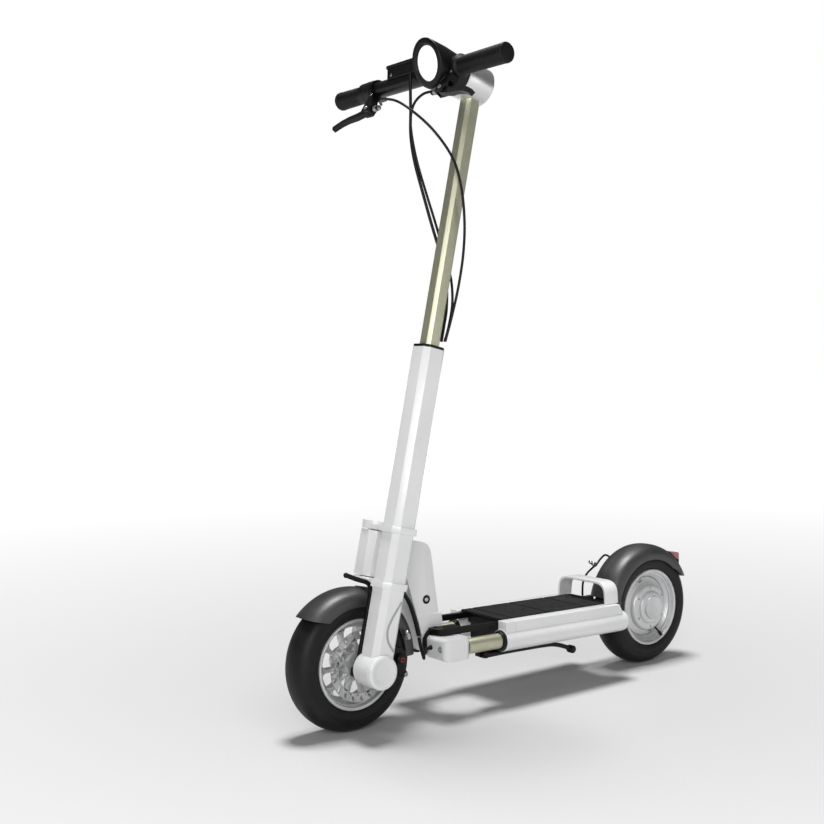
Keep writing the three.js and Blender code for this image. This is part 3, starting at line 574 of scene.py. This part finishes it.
def bolt(radius, height, axis="Y", socket=True):
    """Head of a cap screw with a socket, standing on 0 and rising along the axis."""
    e = radius * 0.14
    rim = [(radius, 0), (radius, height - e), (radius - e, height)]
    if socket:
        inner = radius * 0.5
        rim += [(inner, height), (inner, height * 0.35), (0, height * 0.35)]
    else:
        rim += [(0, height)]
    return lathe([(0, 0)] + rim, axis, 30)


def adjuster(radius, length, axis="Y"):
    """Knurled barrel of a cable adjuster with its lock nut, from 0 along the axis."""
    body = lathe(solid_profile([(radius * 0.8, 0), (radius, 0.8), (radius, length * 0.55),
                                (radius * 0.62, length * 0.6), (radius * 0.62, length * 0.72),
                                (radius * 0.9, length * 0.75), (radius * 0.9, length * 0.95),
                                (radius * 0.6, length)]), "Y", 28)
    ridge = around(lambda: moved(block((-0.35, 0.9, -0.35), (0.35, length * 0.52, 0.35), 0.1),
                                 at(radius)), 14)
    whole = merged(body, ridge)
    return moved(whole, {"X": turn(-90, "Z"), "Y": at(), "Z": turn(90, "X")}[axis])


# ------------------------------------------------------------------ cords

CABLES = {
    "cable_display": (2.9, "upper_stem", "steer", [
        (-151, 8, 1222), (-151, 8, 1200), (-148, 12, 1150), (-140, 22, 1100), (-141, 32, 1050),
        (-152, 43, 990), (-164, 52, 935), (-178, 60, 880), (-187, 66, 830), (-184, 70, 780),
        (-175, 73, 745), (-166, 76, 716)]),
    "cable_brake_left": (2.5, "upper_stem", "steer", [
        (-148, 78, 1174), (-138, 62, 1170), (-132, 44, 1156), (-134, 30, 1132), (-137, 29, 1100),
        (-142, 38, 1050), (-156, 48, 990), (-168, 55, 945), (-183, 57.5, 900), (-193, 63, 862),
        (-196, 71, 825), (-193, 76, 785), (-181, 80, 745), (-169, 82, 716)]),
    "cable_brake_right": (2.5, "upper_stem", "steer", [
        (-148, -80, 1176), (-130, -60, 1178), (-112, -20, 1172), (-104, 30, 1158), (-112, 70, 1132),
        (-136, 98, 1096), (-166, 112, 1050), (-186, 112, 1000), (-197, 108, 940), (-199, 102, 880),
        (-193, 95, 820), (-181, 90, 765), (-166.5, 87, 716)]),
    "cable_neck_upper": (4.2, "steer", "neck", [
        (-66, 52, 264), (-78, 47, 262), (-98, 37, 252), (-121, 30, 226), (-135, 29.2, 192),
        (-144, 29.2, 160)]),
    "cable_neck_lower": (3.2, "neck", "front_frame", [
        (-144.6, 29, 155), (-148, 29.5, 138), (-151, 32, 123), (-149, 38, 117), (-145, 43, 124),
        (-149, 44, 135), (-159, 44, 137)]),
    "cable_rear": (2.3, "rear_frame", "rear_brake_arm", [
        (-656, -38, 160.6), (-656, -38, 172), (-657, -38, 186), (-662, -38.5, 198), (-674, -40, 209),
        (-690, -41.5, 217), (-706, -43, 224), (-722, -46, 234), (-742, -50, 240), (-765, -54, 228),
        (-780, -56, 203), (-785, -54, 182)]),
}


def make_cables():
    for node, (radius, first, last, route) in CABLES.items():
        shape, line = tube(route, radius, 12, 8)
        start, end = (GROUND @ Vector(route[i]) for i in (0, -1))
        obj = piece(node + "_fine", shape, "sheath", first, GROUND, [node], 60, (last, start, end))


make_cables()

# ------------------------------------------------------------------ wheels


def tyre():
    half = smooth_line([(84, 29, 0), (88, 32, 0), (97, 34, 0), (107, 33.4, 0), (115.5, 29.3, 0),
                        (122, 22, 0), (126, 12, 0), (127.5, 0, 0)], 5)
    profile = [(p.x, p.y) for p in half]
    step = [(103.2, 33.6), (103.6, 34.2), (104.8, 34.1), (105.2, 33.5)]
    place = next(i for i, p in enumerate(profile) if p[0] > 103)
    profile[place:place + 1] = step
    return lathe(profile + [(r, -y) for r, y in reversed(profile[:-1])], steps=144)


def rim_barrel():
    side = [(81.4, 33.2), (83.4, 32.6), (84.4, 30.6), (83.6, 28.4), (74, 24), (70.5, 14), (70, 0)]
    inner = [(78.6, 32.2), (77.2, 29.6), (76.4, 25.5), (72, 19.5), (67, 14), (65.6, 6), (65.6, 0)]
    outside = side + [(r, -y) for r, y in reversed(side[:-1])]
    inside = [(r, -y) for r, y in inner] + [(r, y) for r, y in reversed(inner[:-1])]
    return lathe(outside + inside, steps=144)


def spoke():
    line = [(17, -2), (28, -1.5), (42, 0), (56, 2), (63, 3.4), (68, 4.2)]
    shape = prism(ribbon(line, [7.5, 4.4, 3.1, 3.1, 4.8, 10.5]), 1, 17, "Y", 1.2)
    return merged(shape, prism(ribbon(line, [4.4, 1.8, 1.1, 1.1, 2, 4]), 15, 19, "Y", 0.7))


def disc_slot():
    return moved(prism(rounded(-5, 5, -2.3, 2.3, 2.2), 38, 44, "Y"), at(60.2) @ turn(32, "Y"))


def disc_hole():
    return moved(rod(1.9, 38, 44, steps=14), at(53.2))


def disc_arm():
    return prism(ribbon([(20, 0), (29, 8), (40, 12), (52, 9)], [7, 4.4, 3.8, 6]), 40, 42, "Y")


def brake_disc():
    ring = lathe([(50, 40), (66, 40), (66, 42), (50, 42)], steps=144)
    ring = carved(ring, merged(around(disc_slot, 20), around(disc_hole, 20, first=10)))
    carrier = lathe([(13, 37), (25, 37), (26, 38), (26, 42.4), (13, 42.4)], steps=60)
    return merged(soften(ring, 0.25, 2), soften(around(disc_arm, 6), 0.4, 2), carrier)


def front_wheel():
    body = "front_wheel"
    piece("front_tyre_fine", tyre(), "tyre", body, FRONT_HUB, ["front_tyre"], 50)
    hub = lathe(solid_profile([(20, -29), (23.5, -27), (24, -14), (19, -8), (19, 8), (24, 14), (25, 27),
                               (22, 31), (21, 36)]), steps=72)
    piece("front_rim_fine", merged(rim_barrel(), hub, around(spoke, 10, first=8)), "alloy", body,
          FRONT_HUB, ["front_rim"])
    piece("brake_disc_fine", brake_disc(), "disc", body, FRONT_HUB, ["brake_disc"])
    screws = around(lambda: moved(bolt(2.6, 1.8), at(20.4, 42.4, 0)), 6, first=20)
    piece("disc_screws", screws, "steel", body, FRONT_HUB)
    piece("front_hub_seal", rod(11, 41, 43.6), "black", body, FRONT_HUB)
    valve(body, FRONT_HUB, 140)


def valve(body, hub, angle):
    stem, _ = tube([(66, 8, 0), (60, 12, 0), (52, 19, 0), (45, 26, 0)], 1.9, 12, 4,
                   lambda t: 2.9 if t > 0.62 else 1.9)
    piece(body + "_valve", stem, "rubber", body, hub @ turn(-angle, "Y"))


def motor_slot():
    return moved(prism(rounded(-6, 6, -2.4, 2.4, 2.2), 9, 22, "Y"), at(59.5) @ turn(90, "Y"))


def motor():
    profile = [(24.2, 43.4), (25.6, 42.6), (26, 41), (26.3, 38.4), (31, 38.1), (34, 37.2), (35.8, 35.2),
               (36.4, 31.4), (44, 30.9), (48.5, 29.8), (51.4, 27.2), (52.6, 23.4), (52.8, 18.4), (58.5, 16),
               (65, 13.2), (66.6, 9), (66.6, -9), (65, -13.2), (58.5, -16), (52.8, -20), (50, -27),
               (44, -30), (22, -31.5), (20, -36.5)]
    outer = lathe(solid_profile([(23.4, 43.2)] + profile), steps=128)
    return carved(outer, around(motor_slot, 2, first=-74))


def rear_wheel():
    body = "rear_wheel"
    piece("rear_tyre_fine", tyre(), "tyre", body, REAR_HUB, ["rear_tyre"], 50)
    piece("rear_rim_fine", rim_barrel(), "alloy", body, REAR_HUB, ["rear_rim"])
    piece("motor_fine", motor(), "alloy", body, REAR_HUB, ["motor_shell"])
    screws = around(lambda: moved(bolt(2.3, 1.2), at(43, 31, 0)), 6, first=30)
    piece("motor_screws", screws, "steel", body, REAR_HUB)
    stem, _ = tube([(50, 20, 0), (56, 27, 0), (64, 33, 0), (73, 37, 0)], 2, 12, 5,
                   lambda t: 3.6 if t > 0.68 else 2.0)
    piece("rear_valve", stem, "rubber", body, REAR_HUB @ turn(114, "Y"))


front_wheel()
rear_wheel()

# ------------------------------------------------------------------ leg, yokes and front axle


def axle_housing():
    profile = [(15.5, 109.6), (16.4, 109.8), (23.6, 112.7), (25.4, 113.1), (28.4, 112.4), (30.4, 110.4),
               (31, 107.6), (31, 104.8), (30.2, 104.3), (30.2, 103.3), (31, 102.8), (31, 62.5),
               (30.2, 59.4), (27.6, 57.4), (14, 57), (13, 55), (11, 46), (8, 45), (8, -27)]
    return lathe([(0, 109.6)] + profile + [(0, -27)], steps=128)


def leg_details():
    body = "steer"
    refined("stem_leg", "white", body, 1.5)
    refined("leg_collar", "rubber", body, 0.5)
    refined("yoke_lower", "white", body, 1.1)
    refined("yoke_upper", "white", body, 1.1)
    piece("axle_housing_fine", axle_housing(), "white", body, FRONT_HUB, ["axle_housing"])
    hook = [(13.5, 49.6, -8), (13.5, 49.6, 20), (13, 49.6, 70), (12, 49.6, 120), (14, 49.6, 140),
            (23, 49.6, 150.5), (45, 49.6, 154), (73, 49.6, 159)]
    rail, _ = tube(hook, 4.3, 20, 8)
    foot = prism(rounded(6, 24, -19, -2, 4), 44.5, 55.5, "Y", 1.2)
    tip = ball(4.9, hook[-1])
    piece("stay_fine", merged(rail, foot, tip), "black", body, STEER, ["stay_hook"])
    # Painted shade: a flat grey strip laid on the leg's side along the edge of a recess; it lies on the
    # surface and cuts nothing.
    line = [(-14.8, 128), (-7, 112), (0.4, 97), (5.4, 82), (6.2, 70), (1, 55), (-12, 41), (-14.8, 39)]
    curve = [tuple(p.xy) for p in smooth_line([(x, z, 0) for x, z in line], 6)]
    recess_shade_strip = prism(ribbon(curve, [2.3] * len(curve)), 0, 0.45, "Y")
    piece("leg_recess_shade_strip", recess_shade_strip, "grey", body, STEER @ at(LEG["x"], LEG["y"] + 25, 0))


def mudguard(first, last):
    half = smooth_line([(107, 38, 0), (115, 38.4, 0), (123, 36.6, 0), (130.5, 30.5, 0), (135.3, 21, 0),
                        (137.6, 10, 0), (138, 0, 0)], 4)
    inner = [(p.x - 2.4 * (p.x - 100) / 38, p.y - 2.6 * p.y / 40) for p in half]
    outer = [(p.x, p.y) for p in half]
    lip = [(106.2, 37.2), (106.2, 36.2)]
    loop = (outer + [(r, -y) for r, y in reversed(outer[:-1])] + [(r, -y) for r, y in lip]
            + [(r, -y) for r, y in inner] + [(r, y) for r, y in reversed(inner[:-1])] + lip[::-1])
    return lathe(loop, start=first, sweep=last - first, steps=64)


def front_mudguard():
    body = "steer"
    upright = Matrix.Rotation(-RAKE, 4, "Y")
    level = moved(block((0, -60, -40), (220, 60, FRONT_GUARD["cut"])), upright)
    shell = carved(mudguard(FRONT_GUARD["first"], FRONT_GUARD["last"]), level)
    mount = moved(block((-30, -17, 128), (2, 17, 139), 2.5), upright)
    piece("front_mudguard_fine", merged(shell, mount), "guard", body, FRONT_HUB, ["front_mudguard"], 40)


def caliper():
    body = "steer"
    refined("caliper_body", "black", body, 1.4)
    refined("caliper_arm", "black", "caliper_arm", 1.2)
    for name, shape, height, look in (("cap", bolt(9.6, 2.2, socket=False), 60, "black"),
                                      ("ring", rod(4.6, 0, 1.2), 62.2, "red"),
                                      ("socket", bolt(2.5, 1.2), 63.4, "black")):
        piece(f"caliper_{name}", moved(shape, at(CALIPER_PIVOT["x"], height, CALIPER_PIVOT["z"])), look,
              "caliper_arm", STEER)
    piece("caliper_screw", moved(bolt(3.9, 3.6), at(-93, 58, -7)), "steel", "caliper_arm", STEER)
    barrel = moved(adjuster(5, 18), at(-98, 45, 57) @ turn(35, "Y") @ turn(90, "X"))
    piece("caliper_adjuster", barrel, "steel", body, STEER)


leg_details()
front_mudguard()
caliper()

# ------------------------------------------------------------------ neck and front frame


def neck():
    body = "neck"
    refined("neck_shell", "white", body, 2.2)
    refined("head_tube", "white", body, 1.0)
    ring = lathe([(4.6, 24), (4.6, 25.6), (7.6, 25.9), (8.4, 25.2), (8.4, 24)], steps=48)
    place = GROUND @ at(LOCK["x"], 0, LOCK["z"])
    piece("lock_ring", ring, "black", body, place)
    button = lathe(solid_profile([(3.6, 19), (4.1, 22), (4.1, 25.4), (3.4, 26)]), steps=36)
    piece("lock_button_fine", button, "steel", "lock_button", place, ["lock_button"])


def slide_tube():
    r, front, back = (SLIDE_TUBE[k] for k in ("radius", "front", "back"))
    return lathe(solid_profile([(r - 0.4, back), (r, back + 1), (r, front - 1), (r - 0.4, front)]), "X", 64)


def front_frame():
    body = "front_frame"
    for name, side in SIDES.items():
        refined(f"end_block_{name}", "white", body, 2.0)
        refined(f"hinge_bracket_{name}", "black", body, 1.6)
        bar = moved(slide_tube(), at(0, side * RAIL["y"], RAIL["z"]))
        piece(f"slide_tube_{name}_fine", bar, "gold", body, GROUND @ TILTED, [f"slide_tube_{name}"])
        x, y, z = BLOCK_SCREW["x"], side * BLOCK_SCREW["y"], BLOCK_SCREW["z"]
        cap = moved(bolt(4.4, 3.2, "X"), at(x, y, z))
        piece(f"block_screw_{name}", cap, "steel", body)
        cup = lathe([(4.6, -165.2), (4.6, -161.6), (6.2, -161.4), (6.6, -162.4), (6.6, -165.2)], "X", 40)
        piece(f"block_cup_{name}", moved(cup, at(0, y, z)), "grey", body)
    grommet = lathe([(2.6, -168), (2.6, -158.4), (3.8, -158.8), (4.6, -161), (4.6, -168)], "X", 32)
    piece("cable_grommet", moved(grommet, at(0, 44, 137)), "rubber", body)


neck()
front_frame()

# ------------------------------------------------------------------ deck and rails


def rail(name, side):
    body = "rear_frame"
    y, z, r, front, back = (RAIL[k] for k in ("y", "z", "radius", "front", "back"))
    outside = [(r, front - 1), (r, back + 15), (r - 1.2, back + 9), (r - 4, back + 4.4),
               (r - 8.4, back + 1.4), (r - 13, back + 0.2)]
    profile = ([(15.8, front), (r - 0.8, front)] + outside + [(0, back), (0, back + 5), (15.8, back + 5)])
    shell = moved(lathe(profile, "X", 96), at(0, y, z))
    main = prism([(61, 151), (85.5, 151), (85.5, 172.4), (61, 172.4)], back + 34, front - 27.4, "X", 1.4)
    nose = prism([(61, 151), (85.5, 151), (85.5, 172.4), (61, 172.4)], front - 27, front - 1, "X", 1.4)
    tail = prism([(back + 34.4, 151), (back + 34.4, 172.4), (back + 32, 172.4), (back + 20, 151)], 61, 85.5,
                 "Y", 1.2)
    strip = merged(main, nose, tail)
    mirror = at() if side > 0 else MIRROR
    piece(f"rail_{name}_fine", merged(shell, strip), "white", body,
          GROUND @ TILTED @ mirror, [f"rail_{name}"])
    seal = lathe([(15.2, front + 0.4), (18.6, front + 0.4), (19, front + 1.2), (19, front + 4),
                  (17.6, front + 7), (15.2, front + 7)], "X", 64)
    piece(f"rail_seal_{name}_fine", moved(seal, at(0, side * y, z)), "rubber", body,
          GROUND @ TILTED, [f"rail_seal_{name}"])
    bright = lathe([(19, front + 0.3), (21.4, front + 0.3), (21.4, front + 1.3), (19, front + 1.3)], "X", 64)
    piece(f"seal_ring_{name}", moved(bright, at(0, side * y, z)), "steel", body, GROUND @ TILTED)


def mat_groove(x, y):
    return moved(prism(rounded(-21, 21, -2.2, 2.2, 2.1), 173.7, 176), at(x, y) @ turn(52, "Z"))


def deck():
    body = "rear_frame"
    for name, side in SIDES.items():
        rail(name, side)
    refined("deck_box", "black", body, 1.6)
    mat = from_cad("deck_mat")
    marks = [mat_groove(x + dx, y) for x in (-398, -503, -600) for dx in (-18, 6) for y in (-26, 26)]
    marks = moved(merged(*marks), TILTED)
    piece("deck_mat_fine", soften(carved(mat, marks), 0.5, 2), "mat", body, GROUND, ["deck_mat"])
    refined("deck_handle", "white", body, 1.3)
    plate = block((-331, -46, 151), (-342, 46, 169), 1.5)
    piece("deck_front_plate", plate, "black", body, GROUND @ TILTED)


def rear_end():
    body = "rear_frame"
    refined("rear_arm", "white", body, 1.5)
    under = prism([(-60, 84.5), (-230, 3), (-230, -60), (-60, -60)], -60, 60, "Y")
    shell = carved(mudguard(REAR_GUARD["first"], REAR_GUARD["last"]), under)
    lugs = [block((-690 + WHEELBASE, side * 36, 20), (-643 + WHEELBASE, side * 46, 30.5), 2)
            for side in SIDES.values()]
    piece("rear_mudguard_fine", merged(shell, *lugs), "guard", body, REAR_HUB, ["rear_mudguard"], 40)
    refined("tail_housing", "plastic", body, 0.8)
    refined("tail_lens", "tail", body, 0.9)
    barrel = moved(adjuster(4.6, 24, "X"), at(-703, -42.6, 222.6) @ turn(-25, "Y") @ turn(4, "Z"))
    piece("rear_adjuster", barrel, "steel", body)
    refined("rear_brake_arm", "black", "rear_brake_arm", 0.9)
    axle = lathe(solid_profile([(9, -70), (11, -69), (12, -67), (12, -62.6), (8, -62.4), (8, 30)]), steps=48)
    piece("rear_axle_fine", axle, "steel", body, REAR_HUB, ["rear_axle"])


def kickstand():
    refined("kickstand_bracket", "black", "rear_frame", 1.5)
    line = [(-284, 62, 108), (-300, 62, 107), (-318, 62, 105.6), (-345, 62, 104.8), (-375, 62, 104),
            (-448, 62, 101.5), (-478, 62, 97), (-504, 62, 88.5), (-516, 62, 83)]
    stand, _ = tube(line, 4.5, 18, 8)
    place = at(*(KICKSTAND_FOOT[k] for k in ("x", "y", "z")))
    foot = moved(rod(8, -7, 7, round_off=1.2), place)
    bore = moved(rod(3.4, 6.6, 7.3, round_off=0.2), place)
    piece("kickstand_fine", merged(stand, foot, bore, ball(8.2, line[0])), "black", "kickstand", GROUND,
          ["kickstand"])


deck()
rear_end()
kickstand()

# ------------------------------------------------------------------ stem head, lamp and bar

HEAD = STEER @ at(0, LEG["y"], HEAD_Z)
BAR = STEER @ at(BAR_X, 0, HEAD_Z)
LEVER = BAR @ turn(68, "Y")


def leaned(bm):
    """Slants the front of the lamp, so that its top is further forward than its bottom."""
    for vert in bm.verts:
        share = min(max((vert.co.x - LAMP_LEAN["from"]) / LAMP_LEAN["over"], 0), 1)
        vert.co.x += vert.co.z * math.tan(math.radians(LAMP_LEAN["degrees"])) * share
    return bm


def head():
    body = "upper_stem"
    refined("inner_stem", "gold", body, 1.2)
    drum = lathe(solid_profile([(31, -28.5), (34, -27.8), (35.6, -26), (36, -23.5), (36, 31.5),
                                (35.4, 33.2)]), "X", 128)
    piece("stem_drum_fine", drum, "satin", body, HEAD, ["stem_drum"], 40)
    barrel = lathe([(30, 34), (34.4, 34), (35.2, 35), (35.6, 40), (38.4, 70), (40.2, 88), (41, 101),
                    (41, 107), (40.2, 109.6), (38.2, 111), (31.4, 111), (29.8, 109.4), (28.9, 106),
                    (28.8, 101)], "X", 128)
    piece("lamp_barrel_fine", leaned(barrel), "plastic", body, HEAD, ["lamp_barrel"], 40)
    lens = lathe(solid_profile([(28.6, 101), (28.6, 106.4), (26, 107.6), (18, 109.4), (9, 110.2)]), "X", 96)
    piece("lamp_lens_fine", leaned(lens), "lens", body, HEAD, ["lamp_lens"], 60)


def grip(inner, flange):
    """Grip along +Y, with ring grooves in its rubber and a rounded end."""
    profile = [(16.1, inner)]
    if flange:
        profile += [(20.4, inner), (21.7, inner + 0.8), (22, inner + 2.4), (21.4, inner + 4),
                    (18.6, inner + 5.4), (17.4, inner + 7.4)]
    else:
        profile += [(17.2, inner), (17.8, inner + 0.8)]
    low, high = inner + 9, 243
    rings = 26
    for i in range(rings):
        y = low + (high - low) * i / rings
        r = 17.3 + 0.7 * i / rings
        gap = (high - low) / rings
        profile += [(r, y + 0.14 * gap), (r, y + 0.78 * gap), (r - 0.35, y + 0.86 * gap), (r - 0.35, y + gap)]
    profile += [(18.1, 243.6), (17.4, 244.2), (17.4, 244.8), (18.4, 245.4), (18.6, 247), (18.3, 250),
                (17, 251.6), (15, 252), (0, 252), (0, 250.4), (16.1, 250.4)]
    return lathe(profile, steps=72)


def controls():
    body = "upper_stem"
    piece("handlebar_fine", rod(15.9, -250, 250, steps=72), "black", body, BAR, ["handlebar"])
    piece("grip_left_fine", grip(128, True), "rubber", body, BAR, ["grip_left"], 50)
    piece("grip_right_fine", grip(168, False), "rubber", body, BAR @ MIRROR, ["grip_right"], 50)
    refined("throttle_body", "plastic", body, 0.9)
    refined("throttle_paddle", "plastic", "throttle", 1.4)
    for name, side in SIDES.items():
        mirror = at() if side > 0 else MIRROR
        refined(f"lever_mount_{name}", "black", body, 1.2)
        refined(f"brake_lever_{name}", "black", f"brake_lever_{name}", 2.2, 4)
        barrel = moved(adjuster(5.6, 16), at(53, 97, 0) @ turn(180, "Z"))
        piece(f"adjuster_{name}", barrel, "steel", body, LEVER @ mirror)
        pin = merged(moved(bolt(4.2, 2.4, "Z"), at(55, 114, 9.3)), moved(bolt(3.2, 1.6, "Z"), at(20, 123, 9)))
        piece(f"lever_pin_{name}", pin, "steel", body, LEVER @ mirror)


def display():
    body = "upper_stem"
    low, high, right, left = (DISPLAY[k] for k in ("low", "high", "right", "left"))
    outline = [(-25, low + 3), (-22, low), (17, low), (21, high - 1), (-26, high - 1)]
    shell = prism(outline, right, left, "Y", 2)
    hood = prism(rounded(-28, 24.5, right - 2, left + 1.5, 5), high - 3, high + 2.6, "Z", 1.5)
    bore = rod(16.2, -120, 80, steps=72)
    piece("display_fine", merged(carved(shell, bore), hood), "plastic", body, BAR,
          ["display_housing"])
    glass = prism(rounded(-24, 20, right + 22, left - 3, 4), high + 2.5, high + 3.2, "Z", 0.3)
    piece("display_screen", glass, "screen", body, BAR)
    piece("display_screw", moved(bolt(3, 2.2, "X"), at(19, -60, 12)), "steel", body, BAR)
    cap = moved(rod(6, 0, 3, "Z", 0.8), at(-14, -66, high + 2.6))
    piece("power_button_fine", cap, "rubber", "power_button", BAR, ["power_button"])


head()
controls()
display()

# ------------------------------------------------------------------ floor and light


AMBIENT = 0.12
BACKDROP = 1.0
FLOOR_RADIUS = 30


def floor_material():
    """Pale grey floor that grows lighter with distance from the scooter, into the white backdrop: a painted
    glow that rises from none near the scooter.
    """
    graph = Graph("studio_floor", (0.7, 0.7, 0.7), roughness=0.6, specular_ior_level=0.2)
    distance = graph.add("ShaderNodeVectorMath", {0: graph.place}, output="Value", operation="LENGTH")
    mottle = graph.noise(260, 3)
    graph.set("Base Color", graph.mix(mottle, (0.56, 0.56, 0.56), (0.62, 0.62, 0.62)))
    graph.shader.inputs["Emission Color"].default_value = (1, 1, 1, 1)
    # Painted light: the floor glows more the further it lies from the scooter.
    graph.set("Emission Strength", graph.remap(distance, 0.35, 5.6, 0.0, 1.0))
    return graph.material


def area_light(name, place, target, size, power):
    data = bpy.data.lights.new(name, "AREA")
    data.shape = "DISK"
    data.size = size
    data.energy = power
    light = bpy.data.objects.new(name, data)
    light.location = place
    light.rotation_euler = (Vector(target) - Vector(place)).to_track_quat("-Z", "Y").to_euler()
    bpy.context.scene.collection.objects.link(light)


def floor():
    bm = bmesh.new()
    bmesh.ops.create_circle(bm, cap_ends=True, segments=96, radius=FLOOR_RADIUS)
    mesh = bpy.data.meshes.new("floor")
    bm.to_mesh(mesh)
    bm.free()
    mesh.materials.append(floor_material())
    sheet = bpy.data.objects.new("floor", mesh)
    bpy.context.scene.collection.objects.link(sheet)


def backdrop():
    """White where the camera sees it, and dim as a light, so that the lamps make the shadows."""
    world = bpy.data.worlds.new("studio")
    world.use_nodes = True
    nodes, links = world.node_tree.nodes, world.node_tree.links
    rays = nodes.new("ShaderNodeLightPath")
    seen = nodes.new("ShaderNodeMapRange")
    seen.inputs["To Min"].default_value = AMBIENT
    seen.inputs["To Max"].default_value = BACKDROP
    links.new(rays.outputs["Is Camera Ray"], seen.inputs["Value"])
    nodes["Background"].inputs["Color"].default_value = (1, 1, 1, 1)
    links.new(seen.outputs["Result"], nodes["Background"].inputs["Strength"])
    bpy.context.scene.world = world


def lights():
    area_light("key", (0.0, -0.3, 6.0), (0, 0, 0), 1.8, 380)
    area_light("front", (3.2, 3.3, 2.1), (0, 0, 0.5), 1.9, 90)
    area_light("side", (-1.6, 4.6, 1.3), (0, 0, 0.5), 1.9, 14)


floor()
backdrop()
lights()
bpy.context.scene.view_settings.view_transform = "Standard"
